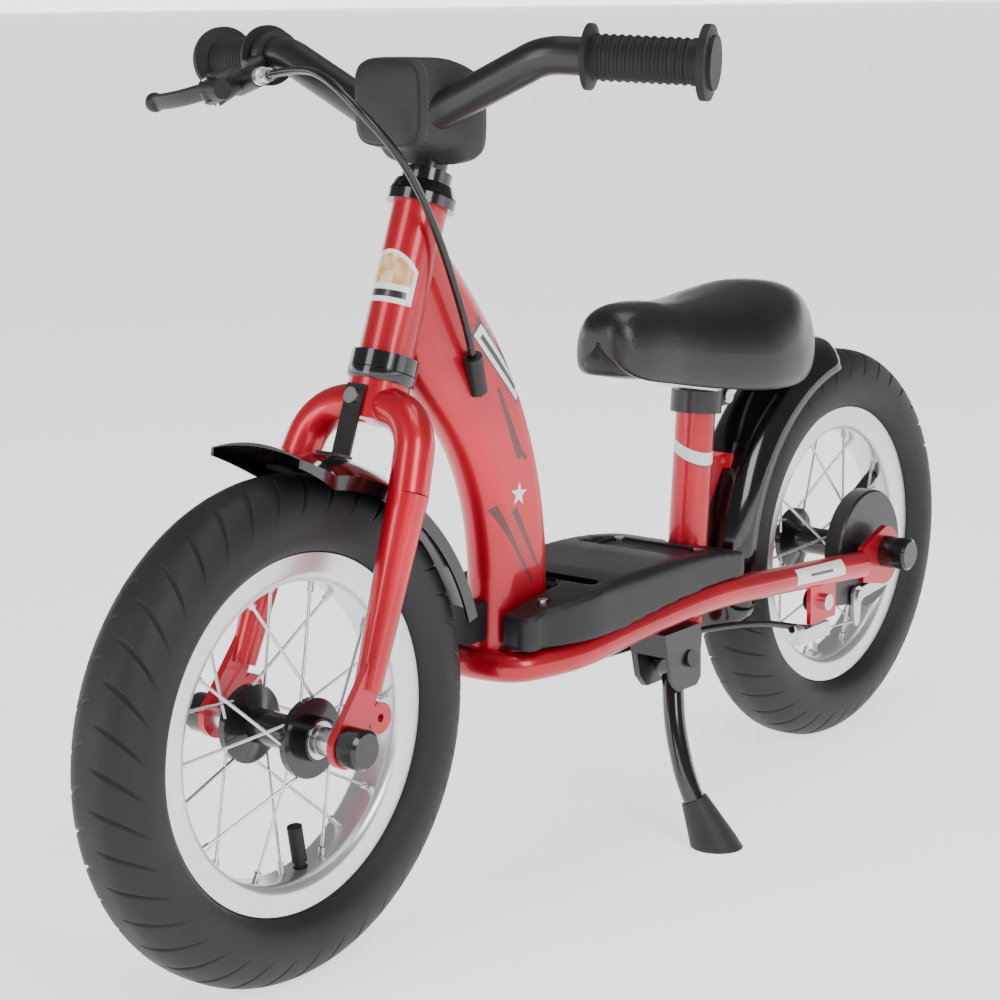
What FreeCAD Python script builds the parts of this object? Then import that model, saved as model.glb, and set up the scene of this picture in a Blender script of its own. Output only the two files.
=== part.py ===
"""Children's balance bike: a step-through frame on two twelve-inch wheels.

Row frame: +X forward, +Y to the rider's left, +Z up. The origin is on the ground,
midway between the two wheel axles. Millimetres throughout.
"""
import FreeCAD
import Part

import math
import os

import Sketcher  # noqa: F401  (registers the sketch object used by every body)

Vector = FreeCAD.Vector
Rotation = FreeCAD.Rotation

LATERAL = Vector(0, 1, 0)
UP = Vector(0, 0, 1)
FORWARD = Vector(1, 0, 0)

DRIVING = {
    # wheels
    "wheelbase": 616.0,
    "tyre_radius": 152.5,
    "tyre_half_width": 26.0,
    "tread_half_flat": 7.0,
    "tyre_wall": 4.0,
    "rim_radius": 108.0,
    "rim_half_width": 16.0,
    "rim_bed_radius": 97.5,
    "rim_inner_radius": 90.0,
    "spoke_count": 20.0,
    "spoke_radius": 1.0,
    "nipple_radius": 2.1,
    "flange_radius": 24.0,
    "flange_offset": 24.5,
    "flange_thickness": 4.5,
    "barrel_radius": 10.5,
    "axle_radius": 5.0,
    "hub_half_width": 33.5,
    "valve_radius": 4.4,
    # steering
    "head_angle": 68.5,
    "fork_offset": 18.6,
    "steerer_radius": 12.7,
    "steerer_bore": 11.2,
    "headset_radius": 21.0,
    "head_tube_radius": 17.0,
    "blade_top_radius": 12.3,
    "blade_end_radius": 8.4,
    "blade_offset": 46.5,
    "front_dropout_offset": 52.0,
    "dropout_thickness": 5.0,
    # frame
    "main_tube_width": 34.0,
    "rail_radius": 10.0,
    "seat_tube_radius": 14.3,
    "seat_tube_bore": 12.9,
    "seat_tube_lean": 5.8,
    "rear_dropout_offset": 55.5,
    "board_length": 240.0,
    "board_half_width": 57.0,
    "board_height": 34.0,
    # handlebar
    "bar_radius": 11.1,
    "bar_wall": 1.6,
    "stem_radius": 11.1,
    "grip_radius": 13.5,
    "grip_length": 75.0,
    # brake
    "drum_radius": 38.0,
    "cover_radius": 46.0,
    "cable_radius": 2.5,
    # stand, seat
    "stand_leg_radius": 7.5,
    "post_radius": 12.7,
    "guard_radius": 165.0,
    "guard_half_width": 31.0,
    "guard_wall": 2.0,
}

doc = FreeCAD.newDocument("balance_bike")


class Dim:
    """A length that carries both its number and the cell formula that gives it."""

    def __init__(self, value, text=None):
        self.value = float(value)
        self.text = text if text is not None else repr(self.value)

    @staticmethod
    def of(other):
        return other if isinstance(other, Dim) else Dim(other)

    def _join(self, other, sign, value):
        return Dim(value, "(%s %s %s)" % (self.text, sign, other.text))

    def __add__(self, other):
        other = Dim.of(other)
        return self._join(other, "+", self.value + other.value)

    def __sub__(self, other):
        other = Dim.of(other)
        return self._join(other, "-", self.value - other.value)

    def __mul__(self, other):
        other = Dim.of(other)
        return self._join(other, "*", self.value * other.value)

    def __truediv__(self, other):
        other = Dim.of(other)
        return self._join(other, "/", self.value / other.value)

    def __radd__(self, other):
        return Dim.of(other) + self

    def __rsub__(self, other):
        return Dim.of(other) - self

    def __rmul__(self, other):
        return Dim.of(other) * self

    def __neg__(self):
        return Dim(0.0) - self


def fill_sheet():
    """Put the driving dimensions in the spreadsheet, one aliased cell each."""
    sheet = doc.addObject("Spreadsheet::Sheet", "Sheet")
    cells = {}
    for row, (alias, value) in enumerate(DRIVING.items(), start=1):
        sheet.set("A%d" % row, alias)
        sheet.set("B%d" % row, str(value))
        sheet.setAlias("B%d" % row, alias)
        cells[alias] = Dim(value, "Sheet." + alias)
    doc.recompute()
    return cells


D = fill_sheet()


def size(alias):
    """The number now in a cell."""
    return D[alias].value


def bind(target, prop, dim):
    """Tie a property to a formula of the driving dimensions."""
    target.setExpression(prop, Dim.of(dim).text)


# ---------------------------------------------------------------- reference places
HEAD = math.radians(size("head_angle"))
STEER_UP = Vector(-math.cos(HEAD), 0, math.sin(HEAD))
STEER_FORWARD = Vector(math.sin(HEAD), 0, math.cos(HEAD))
FRONT_AXLE = Vector(size("wheelbase") / 2, 0, size("tyre_radius"))
REAR_AXLE = Vector(-size("wheelbase") / 2, 0, size("tyre_radius"))
STEER_BASE = FRONT_AXLE - STEER_FORWARD * size("fork_offset")

LEAN = math.radians(size("seat_tube_lean"))
SEAT_UP = Vector(-math.sin(LEAN), 0, math.cos(LEAN))
SEAT_BASE = Vector(-114, 0, 112)

# stations along the steering axis, measured from its point nearest the front axle
CROWN_BOTTOM = 192.0
CROWN_TOP = 216.0
LOWER_CUP = 222.5
HEAD_BOTTOM = 233.0
HEAD_TOP = 327.0
UPPER_CUP = 334.0
LOCKNUT_BOTTOM = 341.0
LOCKNUT_TOP = 349.0
# stations along the seat tube from its lower end
SEAT_TUBE_LENGTH = 172.0
SEAT_COLLAR_BOTTOM = 170.0
SEAT_COLLAR_TOP = 186.0


def on_steering(station, forward=0.0, left=0.0):
    """A point given in the steering axis's own directions."""
    return STEER_BASE + STEER_UP * station + STEER_FORWARD * forward + LATERAL * left


def on_seat(station):
    """A point on the seat tube's axis."""
    return SEAT_BASE + SEAT_UP * station


# ---------------------------------------------------------------- modelling helpers
def origin_plane(body, role):
    """One of a body's own origin planes."""
    for feature in body.Origin.OriginFeatures:
        if feature.Role == role:
            return feature
    raise RuntimeError("no origin plane called " + role)


def pin_vertex(sketch, index, point):
    """Fix the start of one sketch edge with distances bound to the sheet."""
    for kind, axis, dim in (("DistanceX", -2, point[0]), ("DistanceY", -1, point[1])):
        dim = Dim.of(dim)
        if dim.value == 0.0:
            sketch.addConstraint(Sketcher.Constraint("PointOnObject", index, 1, axis))
            continue
        mark = sketch.addConstraint(Sketcher.Constraint(kind, -1, 1, index, 1, dim.value))
        if "Sheet" in dim.text:
            bind(sketch, "Constraints[%d]" % mark, dim)


def clockwise(start, middle, end):
    """Whether three points in the sketch plane turn to the right."""
    return (middle - start).cross(end - middle).z < 0


def draw_outline(sketch, outline):
    """Draw a closed outline: a pair is a corner, and a four-number step is an arc's middle and end."""
    corners = [step[-2:] for step in outline]
    flat = [Vector(Dim.of(c[0]).value, Dim.of(c[1]).value, 0) for c in corners]
    backward = set()
    for number, step in enumerate(outline):
        start = flat[number - 1]
        end = flat[number]
        if len(step) == 2:
            sketch.addGeometry(Part.LineSegment(start, end), False)
            continue
        middle = Vector(Dim.of(step[0]).value, Dim.of(step[1]).value, 0)
        sketch.addGeometry(Part.Arc(start, middle, end), False)
        if clockwise(start, middle, end):
            backward.add(number)
    count = len(outline)
    for number in range(count):
        after = (number + 1) % count
        end_mark = 1 if number in backward else 2
        start_mark = 2 if after in backward else 1
        sketch.addConstraint(Sketcher.Constraint("Coincident", number, end_mark, after, start_mark))
    for number in range(count):
        if len(outline[number]) == 2:
            pin_vertex(sketch, number, corners[number - 1])


def sketch_in(body, role, outline):
    """A sketch on one of the body's origin planes."""
    sketch = body.newObject("Sketcher::SketchObject", body.Name + "_sketch")
    sketch.AttachmentSupport = (origin_plane(body, role), [""])
    sketch.MapMode = "FlatFace"
    draw_outline(sketch, outline)
    return sketch


def lathe(name, outline, place=Vector(0, 0, 0), axis=LATERAL, sweep=360.0, turn=0.0):
    """A turned piece: the outline's pairs are (radius, distance along the axis)."""
    body = doc.addObject("PartDesign::Body", name)
    sketch = sketch_in(body, "XY_Plane", outline)
    revolve = body.newObject("PartDesign::Revolution", name + "_turned")
    revolve.Profile = sketch
    revolve.ReferenceAxis = (sketch, ["V_Axis"])
    revolve.Angle = sweep
    spin = Rotation(LATERAL, turn)
    body.Placement = FreeCAD.Placement(place, Rotation(LATERAL, axis).multiply(spin))
    return body


def plate(name, outline, thickness, place=Vector(0, 0, 0), role="XZ_Plane"):
    """A flat piece padded both ways from its mid plane, with its outline in (x, z)."""
    body = doc.addObject("PartDesign::Body", name)
    sketch = sketch_in(body, role, outline)
    pad = body.newObject("PartDesign::Pad", name + "_pad")
    pad.Profile = sketch
    bind(pad, "Length", Dim.of(thickness))
    pad.Midplane = True
    body.Placement.Base = place
    return body


def rod(name, start, end, radius):
    """A plain cylinder between two points."""
    along = end - start
    item = doc.addObject("Part::Cylinder", name)
    bind(item, "Radius", Dim.of(radius))
    item.Height = along.Length
    item.Placement = FreeCAD.Placement(start, Rotation(UP, along))
    return item


def block(name, corner, sides):
    """A box from its low corner and its three sides."""
    item = doc.addObject("Part::Box", name)
    for prop, side in zip(("Length", "Width", "Height"), sides):
        bind(item, prop, Dim.of(side))
    item.Placement.Base = Vector(*corner)
    return item


def cut(name, base, tool):
    """The base with the tool taken out."""
    item = doc.addObject("Part::Cut", name)
    item.Base = base
    item.Tool = tool
    return item


def join(name, pieces):
    """Several pieces made one."""
    item = doc.addObject("Part::MultiFuse", name)
    item.Shapes = pieces
    return item


def group(name, pieces):
    """Several separate pieces kept in one node."""
    item = doc.addObject("Part::Compound", name)
    item.Links = pieces
    return item


def shaped(name, shape):
    """A free-form piece whose shape is worked out from the sheet's sizes."""
    item = doc.addObject("Part::Feature", name)
    item.Shape = shape
    return item


def rounded_path(points, share=0.45, radius=None):
    """Straight runs joined by tangent arcs, each arc as large as its two runs allow."""
    edges = []
    start = points[0]
    for before, corner, after in zip(points, points[1:], points[2:]):
        inward = (before - corner).normalize()
        onward = (after - corner).normalize()
        half = inward.getAngle(onward) / 2
        run = min((before - corner).Length, (after - corner).Length)
        bend = radius if radius else share * run * math.tan(half)
        reach = bend / math.tan(half)
        first = corner + inward * reach
        last = corner + onward * reach
        middle_way = (inward + onward).normalize()
        middle = corner + middle_way * (bend / math.sin(half) - bend)
        edges.append(Part.LineSegment(start, first).toShape())
        edges.append(Part.Arc(first, middle, last).toShape())
        start = last
    edges.append(Part.LineSegment(start, points[-1]).toShape())
    return Part.Wire(edges)


def bend_radii(points, share=0.45):
    """The radius of each arc that rounded_path makes."""
    radii = []
    for before, corner, after in zip(points, points[1:], points[2:]):
        half = (before - corner).getAngle(after - corner) / 2
        run = min((before - corner).Length, (after - corner).Length)
        radii.append(share * run * math.tan(half))
    return radii


def swept_round(path, radius):
    """A solid round bar along a path."""
    start = path.Edges[0].Vertexes[0].Point
    heading = path.Edges[0].tangentAt(path.Edges[0].FirstParameter)
    ring = Part.Wire(Part.makeCircle(radius, start, heading))
    return path.makePipeShell([ring], True, False)


def swept_tube(path, radius, wall):
    """A hollow round tube along a path."""
    return swept_round(path, radius).cut(swept_round(path, radius - wall))


def cone_between(start, end, start_radius, end_radius):
    """A tapered round bar between two points."""
    along = end - start
    return Part.makeCone(start_radius, end_radius, along.Length, start, along)


def flat_oval(centre, heading, depth, width):
    """A flat-sided oval wire, its long way in the XZ plane and square to the heading."""
    heading = Vector(heading).normalize()
    across = LATERAL.cross(heading).normalize()
    round_radius = width / 2
    straight = depth / 2 - round_radius
    ends = []
    for way in (1, -1):
        focus = centre + across * (straight * way)
        left = focus + LATERAL * (round_radius * way)
        tip = focus + across * (round_radius * way)
        right = focus - LATERAL * (round_radius * way)
        ends.append((left, tip, right))
    edges = []
    for number, (left, tip, right) in enumerate(ends):
        edges.append(Part.Arc(left, tip, right).toShape())
        edges.append(Part.LineSegment(right, ends[1 - number][0]).toShape())
    return Part.Wire(edges)


# ---------------------------------------------------------------- frame
MAIN_TUBE_SECTIONS = (
    # centre x, z; heading x, z; depth; width as a share of the tube's own
    (94, 144, 0.0, 1.0, 61, 1.0),
    (90, 200, 0.03, 1.0, 62, 1.0),
    (97, 262, 0.22, 0.97, 63, 1.0),
    (120, 318, 0.55, 0.83, 68, 1.0),
    (150, 360, 0.78, 0.62, 76, 0.96),
)

RAIL_POINTS = (
    # the right half of the platform rail, from its middle at the front
    Vector(127, 0, 152),
    Vector(121, -30, 152),
    Vector(80, -47, 154),
    Vector(10, -49, 160),
    Vector(-70, -51, 164),
    Vector(-160, -54, 158),
    Vector(-274, -55.5, 148),
)


def mirrored(points):
    """The same points on the bike's other side."""
    return [Vector(p.x, -p.y, p.z) for p in points]


def rail_path():
    """The platform rail's centre line, from one dropout round the front to the other."""
    right = list(RAIL_POINTS)
    left = mirrored(right[1:])
    return rounded_path(list(reversed(right)) + left)


def main_tube_solid(shrink):
    """The oval down tube, its wall moved in by shrink."""
    wires = []
    for x, z, dx, dz, depth, share in MAIN_TUBE_SECTIONS:
        width = size("main_tube_width") * share - 2 * shrink
        wires.append(flat_oval(Vector(x, 0, z), Vector(dx, 0, dz), depth - 2 * shrink, width))
    junction = on_steering(277, forward=-8)
    wires.append(flat_oval(junction, STEER_FORWARD, 80 - 2 * shrink, 29 - 2 * shrink))
    return Part.makeLoft(wires, True, False)


def make_head_tube():
    outer = D["head_tube_radius"]
    bore = D["steerer_radius"] + 2.3
    outline = [(bore, HEAD_BOTTOM), (outer, HEAD_BOTTOM), (outer, HEAD_TOP), (bore, HEAD_TOP)]
    return lathe("head_tube", outline, STEER_BASE, STEER_UP)


def make_main_tube(cable_channel, rail):
    """Down tube, coped to the head tube and the rail, with the cable's way in cut through its side."""
    shell = main_tube_solid(0.0).cut(main_tube_solid(2.0))
    head = Part.makeCylinder(size("head_tube_radius") + 0.05, 200, on_steering(200), STEER_UP)
    solid = shell.cut(head).cut(rail).cut(cable_channel)
    for station in (LOWER_CUP - 20, HEAD_TOP - 0.5):
        solid = solid.cut(Part.makeCylinder(size("headset_radius") + 0.3, 31, on_steering(station), STEER_UP))
    return shaped("main_tube", solid)


def make_platform_tube(rail_outer, seat_outer):
    """The U-shaped rail with its cross tubes."""
    rail = swept_tube(rail_path(), size("rail_radius"), 1.8)
    bars = []
    for x, z, radius in ((36, 157.5, 7.0), (-112, 160.5, 8.0)):
        bar = Part.makeCylinder(radius, 100, Vector(x, -50, z), LATERAL)
        bore = Part.makeCylinder(radius - 1.8, 100, Vector(x, -50, z), LATERAL)
        bars.append(bar.cut(bore).cut(rail_outer).cut(seat_outer))
    solid = rail
    for bar in bars:
        inner = [s for s in bar.Solids if abs(s.CenterOfMass.y) < 47]
        solid = solid.fuse(inner)
    return shaped("platform_tube", solid)


def make_seat_tube():
    outer = D["seat_tube_radius"]
    bore = D["seat_tube_bore"]
    top = SEAT_TUBE_LENGTH
    outline = [(bore, 0), (outer, 0), (outer, top), (bore, top)]
    return lathe("seat_tube", outline, SEAT_BASE, SEAT_UP)


def make_rear_dropouts():
    """Two deep plates, each slotted for the axle."""
    plates = []
    for side, left in (("right", -1), ("left", 1)):
        outline = [
            (-308, 172), (-322, 167, -328, 152), (-322, 132, -306, 127), (-275.2, 134), (-275.2, 161),
        ]
        offset = left * size("rear_dropout_offset")
        blank = plate("dropout_blank_" + side, outline, D["dropout_thickness"], Vector(0, offset, 0))
        eye = rod(
            "dropout_eye_" + side,
            REAR_AXLE + LATERAL * (offset - 10),
            REAR_AXLE + LATERAL * (offset + 10),
            D["axle_radius"] + 0.1,
        )
        plates.append(cut("dropout_" + side, blank, eye))
    return group("rear_dropouts", plates)


def make_frame_tabs(rail_outer, seat_outer, bolts):
    """The gusset behind the seat tube and the brake's anchor tab under the left rail."""
    gusset = Part.Face(Part.makePolygon([
        Vector(-132, -2, 188), Vector(-138, -2, 247), Vector(-166.5, -2, 243),
        Vector(-166.5, -2, 238), Vector(-132, -2, 188),
    ])).extrude(LATERAL * 4).cut(seat_outer)
    foot = Part.makeBox(4, 16, 14, Vector(-169, -8, 232))
    guard = Part.makeCylinder(size("guard_radius") + 0.1, 40, REAR_AXLE - LATERAL * 20, LATERAL)
    anchor = Part.makeBox(36, 3.5, 28, Vector(-238, 52, 116)).cut(rail_outer)
    hole = Part.makeCylinder(3.2, 30, ANCHOR + LATERAL * 40, LATERAL)
    rear = gusset.fuse(foot).cut(guard).cut(bolts)
    return shaped("frame_tabs", Part.makeCompound([rear, anchor.cut(hole)]))


def make_frame_bumper():
    """Small stop on the front of the down tube, behind the front mudguard."""
    base = block("bumper_block", (119, -7, 168), (21, 14, 25))
    tube = shaped("bumper_seat", main_tube_solid(-0.05))
    return cut("frame_bumper", base, tube)


def make_footboard(rail_outer, bolts):
    """Anti-slip foot tray with a raised rounded rim, resting on the rails."""
    rear = -118.0
    front = rear + size("board_length")
    half = size("board_half_width")
    body = doc.addObject("PartDesign::Body", "footboard_blank")
    outline = [
        (front - 2, -14 - half / 2, front, -30), (front, -19), (66, -19),
        (50, 0, 66, 19), (front, 19), (front, 30), (front - 2, 14 + half / 2, front - 14, half - 14),
        (front - 40, half - 3, front - 60, half), (rear + 14, half), (rear + 4, half - 4, rear, half - 14),
        (rear, 19), (rear, -19), (rear, -half + 14), (rear + 4, -half + 4, rear + 14, -half),
        (front - 60, -half), (front - 40, 3 - half, front - 14, -half + 14),
    ]
    sketch = sketch_in(body, "XY_Plane", outline)
    pad = body.newObject("PartDesign::Pad", "footboard_pad")
    pad.Profile = sketch
    bind(pad, "Length", D["board_height"])
    body.Placement.Base = Vector(0, 0, 164)
    doc.recompute()
    solid = body.Shape.copy()
    top = [e for e in solid.Edges if abs(e.BoundBox.ZMin - e.BoundBox.ZMax) < 1e-6]
    top = [e for e in top if e.BoundBox.ZMin > 190 and e.CenterOfMass.y ** 2 > 45 ** 2]
    solid = solid.makeFillet(7.0, top)
    crown = Part.makeCylinder(620, 140, Vector(0, -70, 198.5 - 620), LATERAL)
    tray = Part.makeBox(150, 86, 4, Vector(-96, -43, 191.5))
    under = Part.makeBox(196, 64, 20, Vector(-96, -32, 160))
    for tool in (tray, under):
        solid = solid.cut(tool)
    solid = solid.common(crown)
    notch = Part.makeCylinder(15.3, 120, SEAT_BASE, SEAT_UP)
    nose = Part.makeBox(90, 39, 60, Vector(57, -19.5, 150))
    bars = [
        Part.makeCylinder(radius + 0.2, 110, Vector(x, -55, z), LATERAL)
        for x, z, radius in ((36, 157.5, 7.0), (-112, 160.5, 8.0))
    ]
    for tool in [notch, nose, rail_outer, bolts] + bars:
        solid = solid.cut(tool)
    return shaped("footboard", max(solid.Solids, key=lambda s: s.Volume))



# ---------------------------------------------------------------- mudguards
def guard_section(centre, outward, half_width, depth):
    """A channel-shaped mudguard section: crown at centre, skirts reaching depth towards the wheel."""
    wall = size("guard_wall")

    def place(across, drop):
        return centre + LATERAL * across - outward * drop

    inner = half_width - wall
    shoulder = 0.55 * depth
    edges = [
        Part.Arc(place(-half_width, shoulder), place(0, 0), place(half_width, shoulder)).toShape(),
        Part.LineSegment(place(half_width, shoulder), place(half_width, depth)).toShape(),
        Part.LineSegment(place(half_width, depth), place(inner, depth)).toShape(),
        Part.LineSegment(place(inner, depth), place(inner, shoulder)).toShape(),
        Part.Arc(place(inner, shoulder), place(0, wall), place(-inner, shoulder)).toShape(),
        Part.LineSegment(place(-inner, shoulder), place(-inner, depth)).toShape(),
        Part.LineSegment(place(-inner, depth), place(-half_width, depth)).toShape(),
        Part.LineSegment(place(-half_width, depth), place(-half_width, shoulder)).toShape(),
    ]
    return Part.Wire(edges)


def guard_arc(axle, start_deg, end_deg, depth):
    """A mudguard round part of a wheel; angles run from straight ahead up over the top."""
    start = math.radians(start_deg)
    outward = Vector(math.cos(start), 0, math.sin(start))
    section = guard_section(
        axle + outward * size("guard_radius"), outward, size("guard_half_width"), depth
    )
    return Part.Face(section).revolve(axle, LATERAL, start_deg - end_deg)


def make_front_mudguard(screws):
    """Short guard with a wide, lifted nose."""
    radius = size("guard_radius")
    half = size("guard_half_width")
    body = guard_arc(FRONT_AXLE, 98, 164, 19)
    wires = []
    for angle, lift, extra, depth in ((98, 0, 0, 19), (93, 3, 2.5, 15), (86.5, 9, 5, 11)):
        turn = math.radians(angle)
        outward = Vector(math.cos(turn), 0, math.sin(turn))
        tilt = math.radians(angle + 1.6 * lift)
        facing = Vector(math.cos(tilt), 0, math.sin(tilt))
        wires.append(guard_section(FRONT_AXLE + outward * (radius + lift), facing, half + extra, depth))
    nose = Part.makeLoft(wires, True, False)
    return shaped("front_mudguard", body.fuse(nose).cut(screws))


def make_rear_mudguard(screws):
    return shaped("rear_mudguard", guard_arc(REAR_AXLE, -14, 92, 21).cut(screws))


# ---------------------------------------------------------------- wheels
def tyre_outline():
    """Tyre casing: bead, bulging sidewalls and a slightly flattened crown, as (radius, lateral)."""
    crown = D["tyre_radius"]
    half = D["tyre_half_width"]
    wall = D["tyre_wall"]
    flat = D["tread_half_flat"]
    bead = D["rim_half_width"] - 2.8
    over = D["rim_radius"] + 0.5
    widest = crown - 25.5
    return [
        (over, bead),
        (over + 5, half - 4, widest, half),
        (crown - 6.2, half - 6.8, crown, flat),
        (crown, -flat),
        (crown - 6.2, 6.8 - half, widest, -half),
        (over + 5, 4 - half, over, -bead),
        (over - 6, -bead),
        (over - 6, wall - bead),
        (over, wall - bead),
        (over + 6, 7.5 - half, widest, wall - half),
        (crown - 9.5, 10.2 - half, crown - wall - 1, 1 - flat),
        (crown - wall - 1, flat - 1),
        (crown - 9.5, half - 10.2, widest, half - wall),
        (over + 6, half - 7.5, over, bead - wall),
        (over - 6, bead - wall),
        (over - 6, bead),
    ]


def rim_outline():
    """Alloy rim: two flanges, a drop centre and a rounded inner face."""
    outer = D["rim_radius"]
    half = D["rim_half_width"]
    bed = D["rim_bed_radius"]
    inner = D["rim_inner_radius"]
    return [
        (outer, half), (outer, half - 2.5), (bed + 3, half - 2.5), (bed, half - 8), (bed, 8 - half),
        (bed + 3, 2.5 - half), (outer, 2.5 - half), (outer, -half), (bed, -half),
        (inner + 1.7, 3 - half, inner, 7 - half), (inner, half - 7), (inner + 1.7, half - 3, bed, half),
    ]


def hub_outline():
    """Hub shell: slim barrel, two tall flanges and a bearing seat at each end."""
    half = D["hub_half_width"]
    barrel = D["barrel_radius"]
    flange = D["flange_radius"]
    outside = D["flange_offset"] + D["flange_thickness"] / 2
    inside = D["flange_offset"] - D["flange_thickness"] / 2
    seat = D["axle_radius"] + 6.5
    bore = D["axle_radius"] + 1.5
    end = seat + 2
    return [
        (bore, half - 8), (seat, half - 8), (seat, half), (end, half), (end, outside), (flange, outside),
        (flange, inside), (barrel, inside - 5), (barrel, 5 - inside), (flange, -inside),
        (flange, -outside), (end, -outside), (end, -half), (seat, -half), (seat, 8 - half), (bore, 8 - half),
    ]


def around(axle, radius, angle, left):
    """A point beside a wheel at a radius and an angle from straight ahead."""
    return axle + Vector(radius * math.cos(angle), left, radius * math.sin(angle))


def spoke_ends(axle, number):
    """Where one spoke leaves the hub flange and where it meets the rim."""
    count = int(size("spoke_count"))
    pitch = 2 * math.pi / count
    side = 1 if number % 2 == 0 else -1
    lead = 1 if (number // 2) % 2 == 0 else -1
    at_rim = number * pitch
    at_hub = at_rim + lead * math.radians(42)
    left = side * size("flange_offset")
    hub_end = around(axle, size("flange_radius") - 4.5, at_hub, left)
    rim_end = around(axle, size("rim_bed_radius") - 1.5, at_rim, side * 2.0)
    return hub_end, rim_end


def make_spokes(name, axle):
    """Crossed spokes, each with its nipple; every spoke is a solid of its own."""
    spokes = []
    for number in range(int(size("spoke_count"))):
        hub_end, rim_end = spoke_ends(axle, number)
        way = (rim_end - hub_end).normalize()
        wire = Part.makeCylinder(size("spoke_radius"), (rim_end - hub_end).Length - 6, hub_end, way)
        nipple = Part.makeCylinder(size("nipple_radius"), 13, rim_end - way * 13, way)
        spokes.append(wire.fuse(nipple))
    return shaped(name, Part.makeCompound(spokes))


def make_rim(name, axle, valve_angle):
    """The turned rim with its spoke holes and valve hole drilled."""
    blank = lathe(name + "_blank", rim_outline(), axle)
    drills = []
    for number in range(int(size("spoke_count"))):
        hub_end, rim_end = spoke_ends(axle, number)
        way = (rim_end - hub_end).normalize()
        drills.append(Part.makeCylinder(size("nipple_radius") + 0.1, 22, rim_end - way * 14, way))
    low = around(axle, 80, valve_angle, 0)
    way = (low - axle).normalize()
    drills.append(Part.makeCylinder(size("valve_radius") + 0.2, 30, low, way))
    return cut(name, blank, shaped(name + "_drills", Part.makeCompound(drills)))


def make_inner_tube(name, axle, valve_angle):
    """Rubber tube inside the tyre with its valve stem and cap."""
    torus = doc.addObject("Part::Torus", name + "_ring")
    bind(torus, "Radius1", D["tyre_radius"] - 26.5)
    torus.Radius2 = 16.5
    torus.Placement = FreeCAD.Placement(axle, Rotation(UP, LATERAL))
    hollow = doc.addObject("Part::Torus", name + "_air")
    bind(hollow, "Radius1", D["tyre_radius"] - 26.5)
    hollow.Radius2 = 15.3
    hollow.Placement = torus.Placement
    way = around(Vector(0, 0, 0), 1, valve_angle, 0)
    stem = rod(name + "_stem", axle + way * 74, axle + way * 110.4, D["valve_radius"] - 1)
    cap = rod(name + "_cap", axle + way * 63, axle + way * 86, D["valve_radius"] + 0.3)
    return cut(name, join(name + "_solid", [torus, stem, cap]), hollow)


def make_bearings(name, axle):
    """A sealed ball bearing pressed into each end of the hub."""
    half = D["hub_half_width"]
    outer = D["axle_radius"] + 6.45
    inner = D["axle_radius"] + 0.05
    pair = []
    for side, low, high in (("left", half - 7.5, half - 0.5), ("right", 0.5 - half, 7.5 - half)):
        outline = [(inner, low), (outer, low), (outer, high), (inner, high)]
        pair.append(lathe(name + "_" + side, outline, axle))
    return group(name, pair)


def make_wheel(end, axle, valve_angle):
    """The nodes that both wheels share."""
    return [
        lathe(end + "_tyre", tyre_outline(), axle),
        make_inner_tube(end + "_inner_tube", axle, valve_angle),
        make_rim(end + "_rim", axle, valve_angle),
        make_spokes(end + "_spokes", axle),
        lathe(end + "_hub", hub_outline(), axle),
        make_bearings(end + "_bearings", axle),
    ]


def make_axle(name, axle, dropout, stub):
    """Threaded axle with its cone nuts between the hub and the dropouts."""
    core = D["axle_radius"]
    cone = core + 3.5
    inner = D["hub_half_width"] + 1.5
    outer = dropout - D["dropout_thickness"] / 2
    end = outer + stub
    outline = [
        (0, -end), (core, -end), (core, -outer), (cone, -outer), (cone, -inner), (core, -inner),
        (core, inner), (cone, inner), (cone, outer), (core, outer), (core, end), (0, end),
    ]
    return lathe(name, outline, axle)


def make_axle_nuts(name, axle, dropout, length):
    """Covered axle nuts, one outside each dropout."""
    inner = dropout + D["dropout_thickness"] / 2
    bore = D["axle_radius"] + 0.1
    reach = D["axle_radius"] + 7.2
    pair = []
    for side, way in (("left", 1), ("right", -1)):
        outline = [
            (bore, inner * way), (reach, inner * way), (reach, (inner + length - 2) * way),
            (reach - 2, (inner + length) * way), (0, (inner + length) * way),
            (0, (inner + length - 2) * way), (bore, (inner + length - 2) * way),
        ]
        pair.append(lathe(name + "_" + side, outline, axle))
    return group(name, pair)


# ---------------------------------------------------------------- rear brake
BRAKE_PIVOT = Vector(-283, 0, 121)
BRAKE_REACH = 20.0
BRAKE_FACE = 44.5
ANCHOR = Vector(-221, 0, 130)


def make_brake_drum():
    """Drum that turns with the rear hub."""
    outer = D["drum_radius"]
    outline = [
        (14, 28.5), (outer, 28.5), (outer, 39.5), (outer - 3, 39.5), (outer - 3, 31), (14, 31),
    ]
    return lathe("brake_drum", outline, REAR_AXLE)


def make_brake_cover():
    """Fixed cover over the drum, with the arm that takes the brake's reaction to the frame."""
    outer = D["cover_radius"]
    spindle = D["axle_radius"] + 3.6
    face = BRAKE_FACE
    outline = [
        (spindle, face - 2.5), (outer - 2, face - 2.5), (outer - 2, 31), (outer, 31),
        (outer, face - 1.5), (outer - 1.5, face), (spindle, face),
    ]
    cup = lathe("cover_cup", outline, REAR_AXLE)
    arm = plate(
        "cover_arm",
        [(-286, 135), (-286, 113), (-226, 122), (-213, 130, -226, 137)],
        2.5,
        Vector(0, face - 1.25, 0),
    )
    eye = rod("cover_eye", ANCHOR + LATERAL * 30, ANCHOR + LATERAL * 60, 3.2)
    pivot = rod("cover_pivot_hole", BRAKE_PIVOT + LATERAL * 30, BRAKE_PIVOT + LATERAL * 60, 3.1)
    axle_hole = rod("cover_axle_hole", REAR_AXLE, REAR_AXLE + LATERAL * 60, spindle)
    holes = join("cover_holes", [eye, pivot, axle_hole])
    return cut("brake_cover", join("cover_solid", [cup, arm]), holes)


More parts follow.
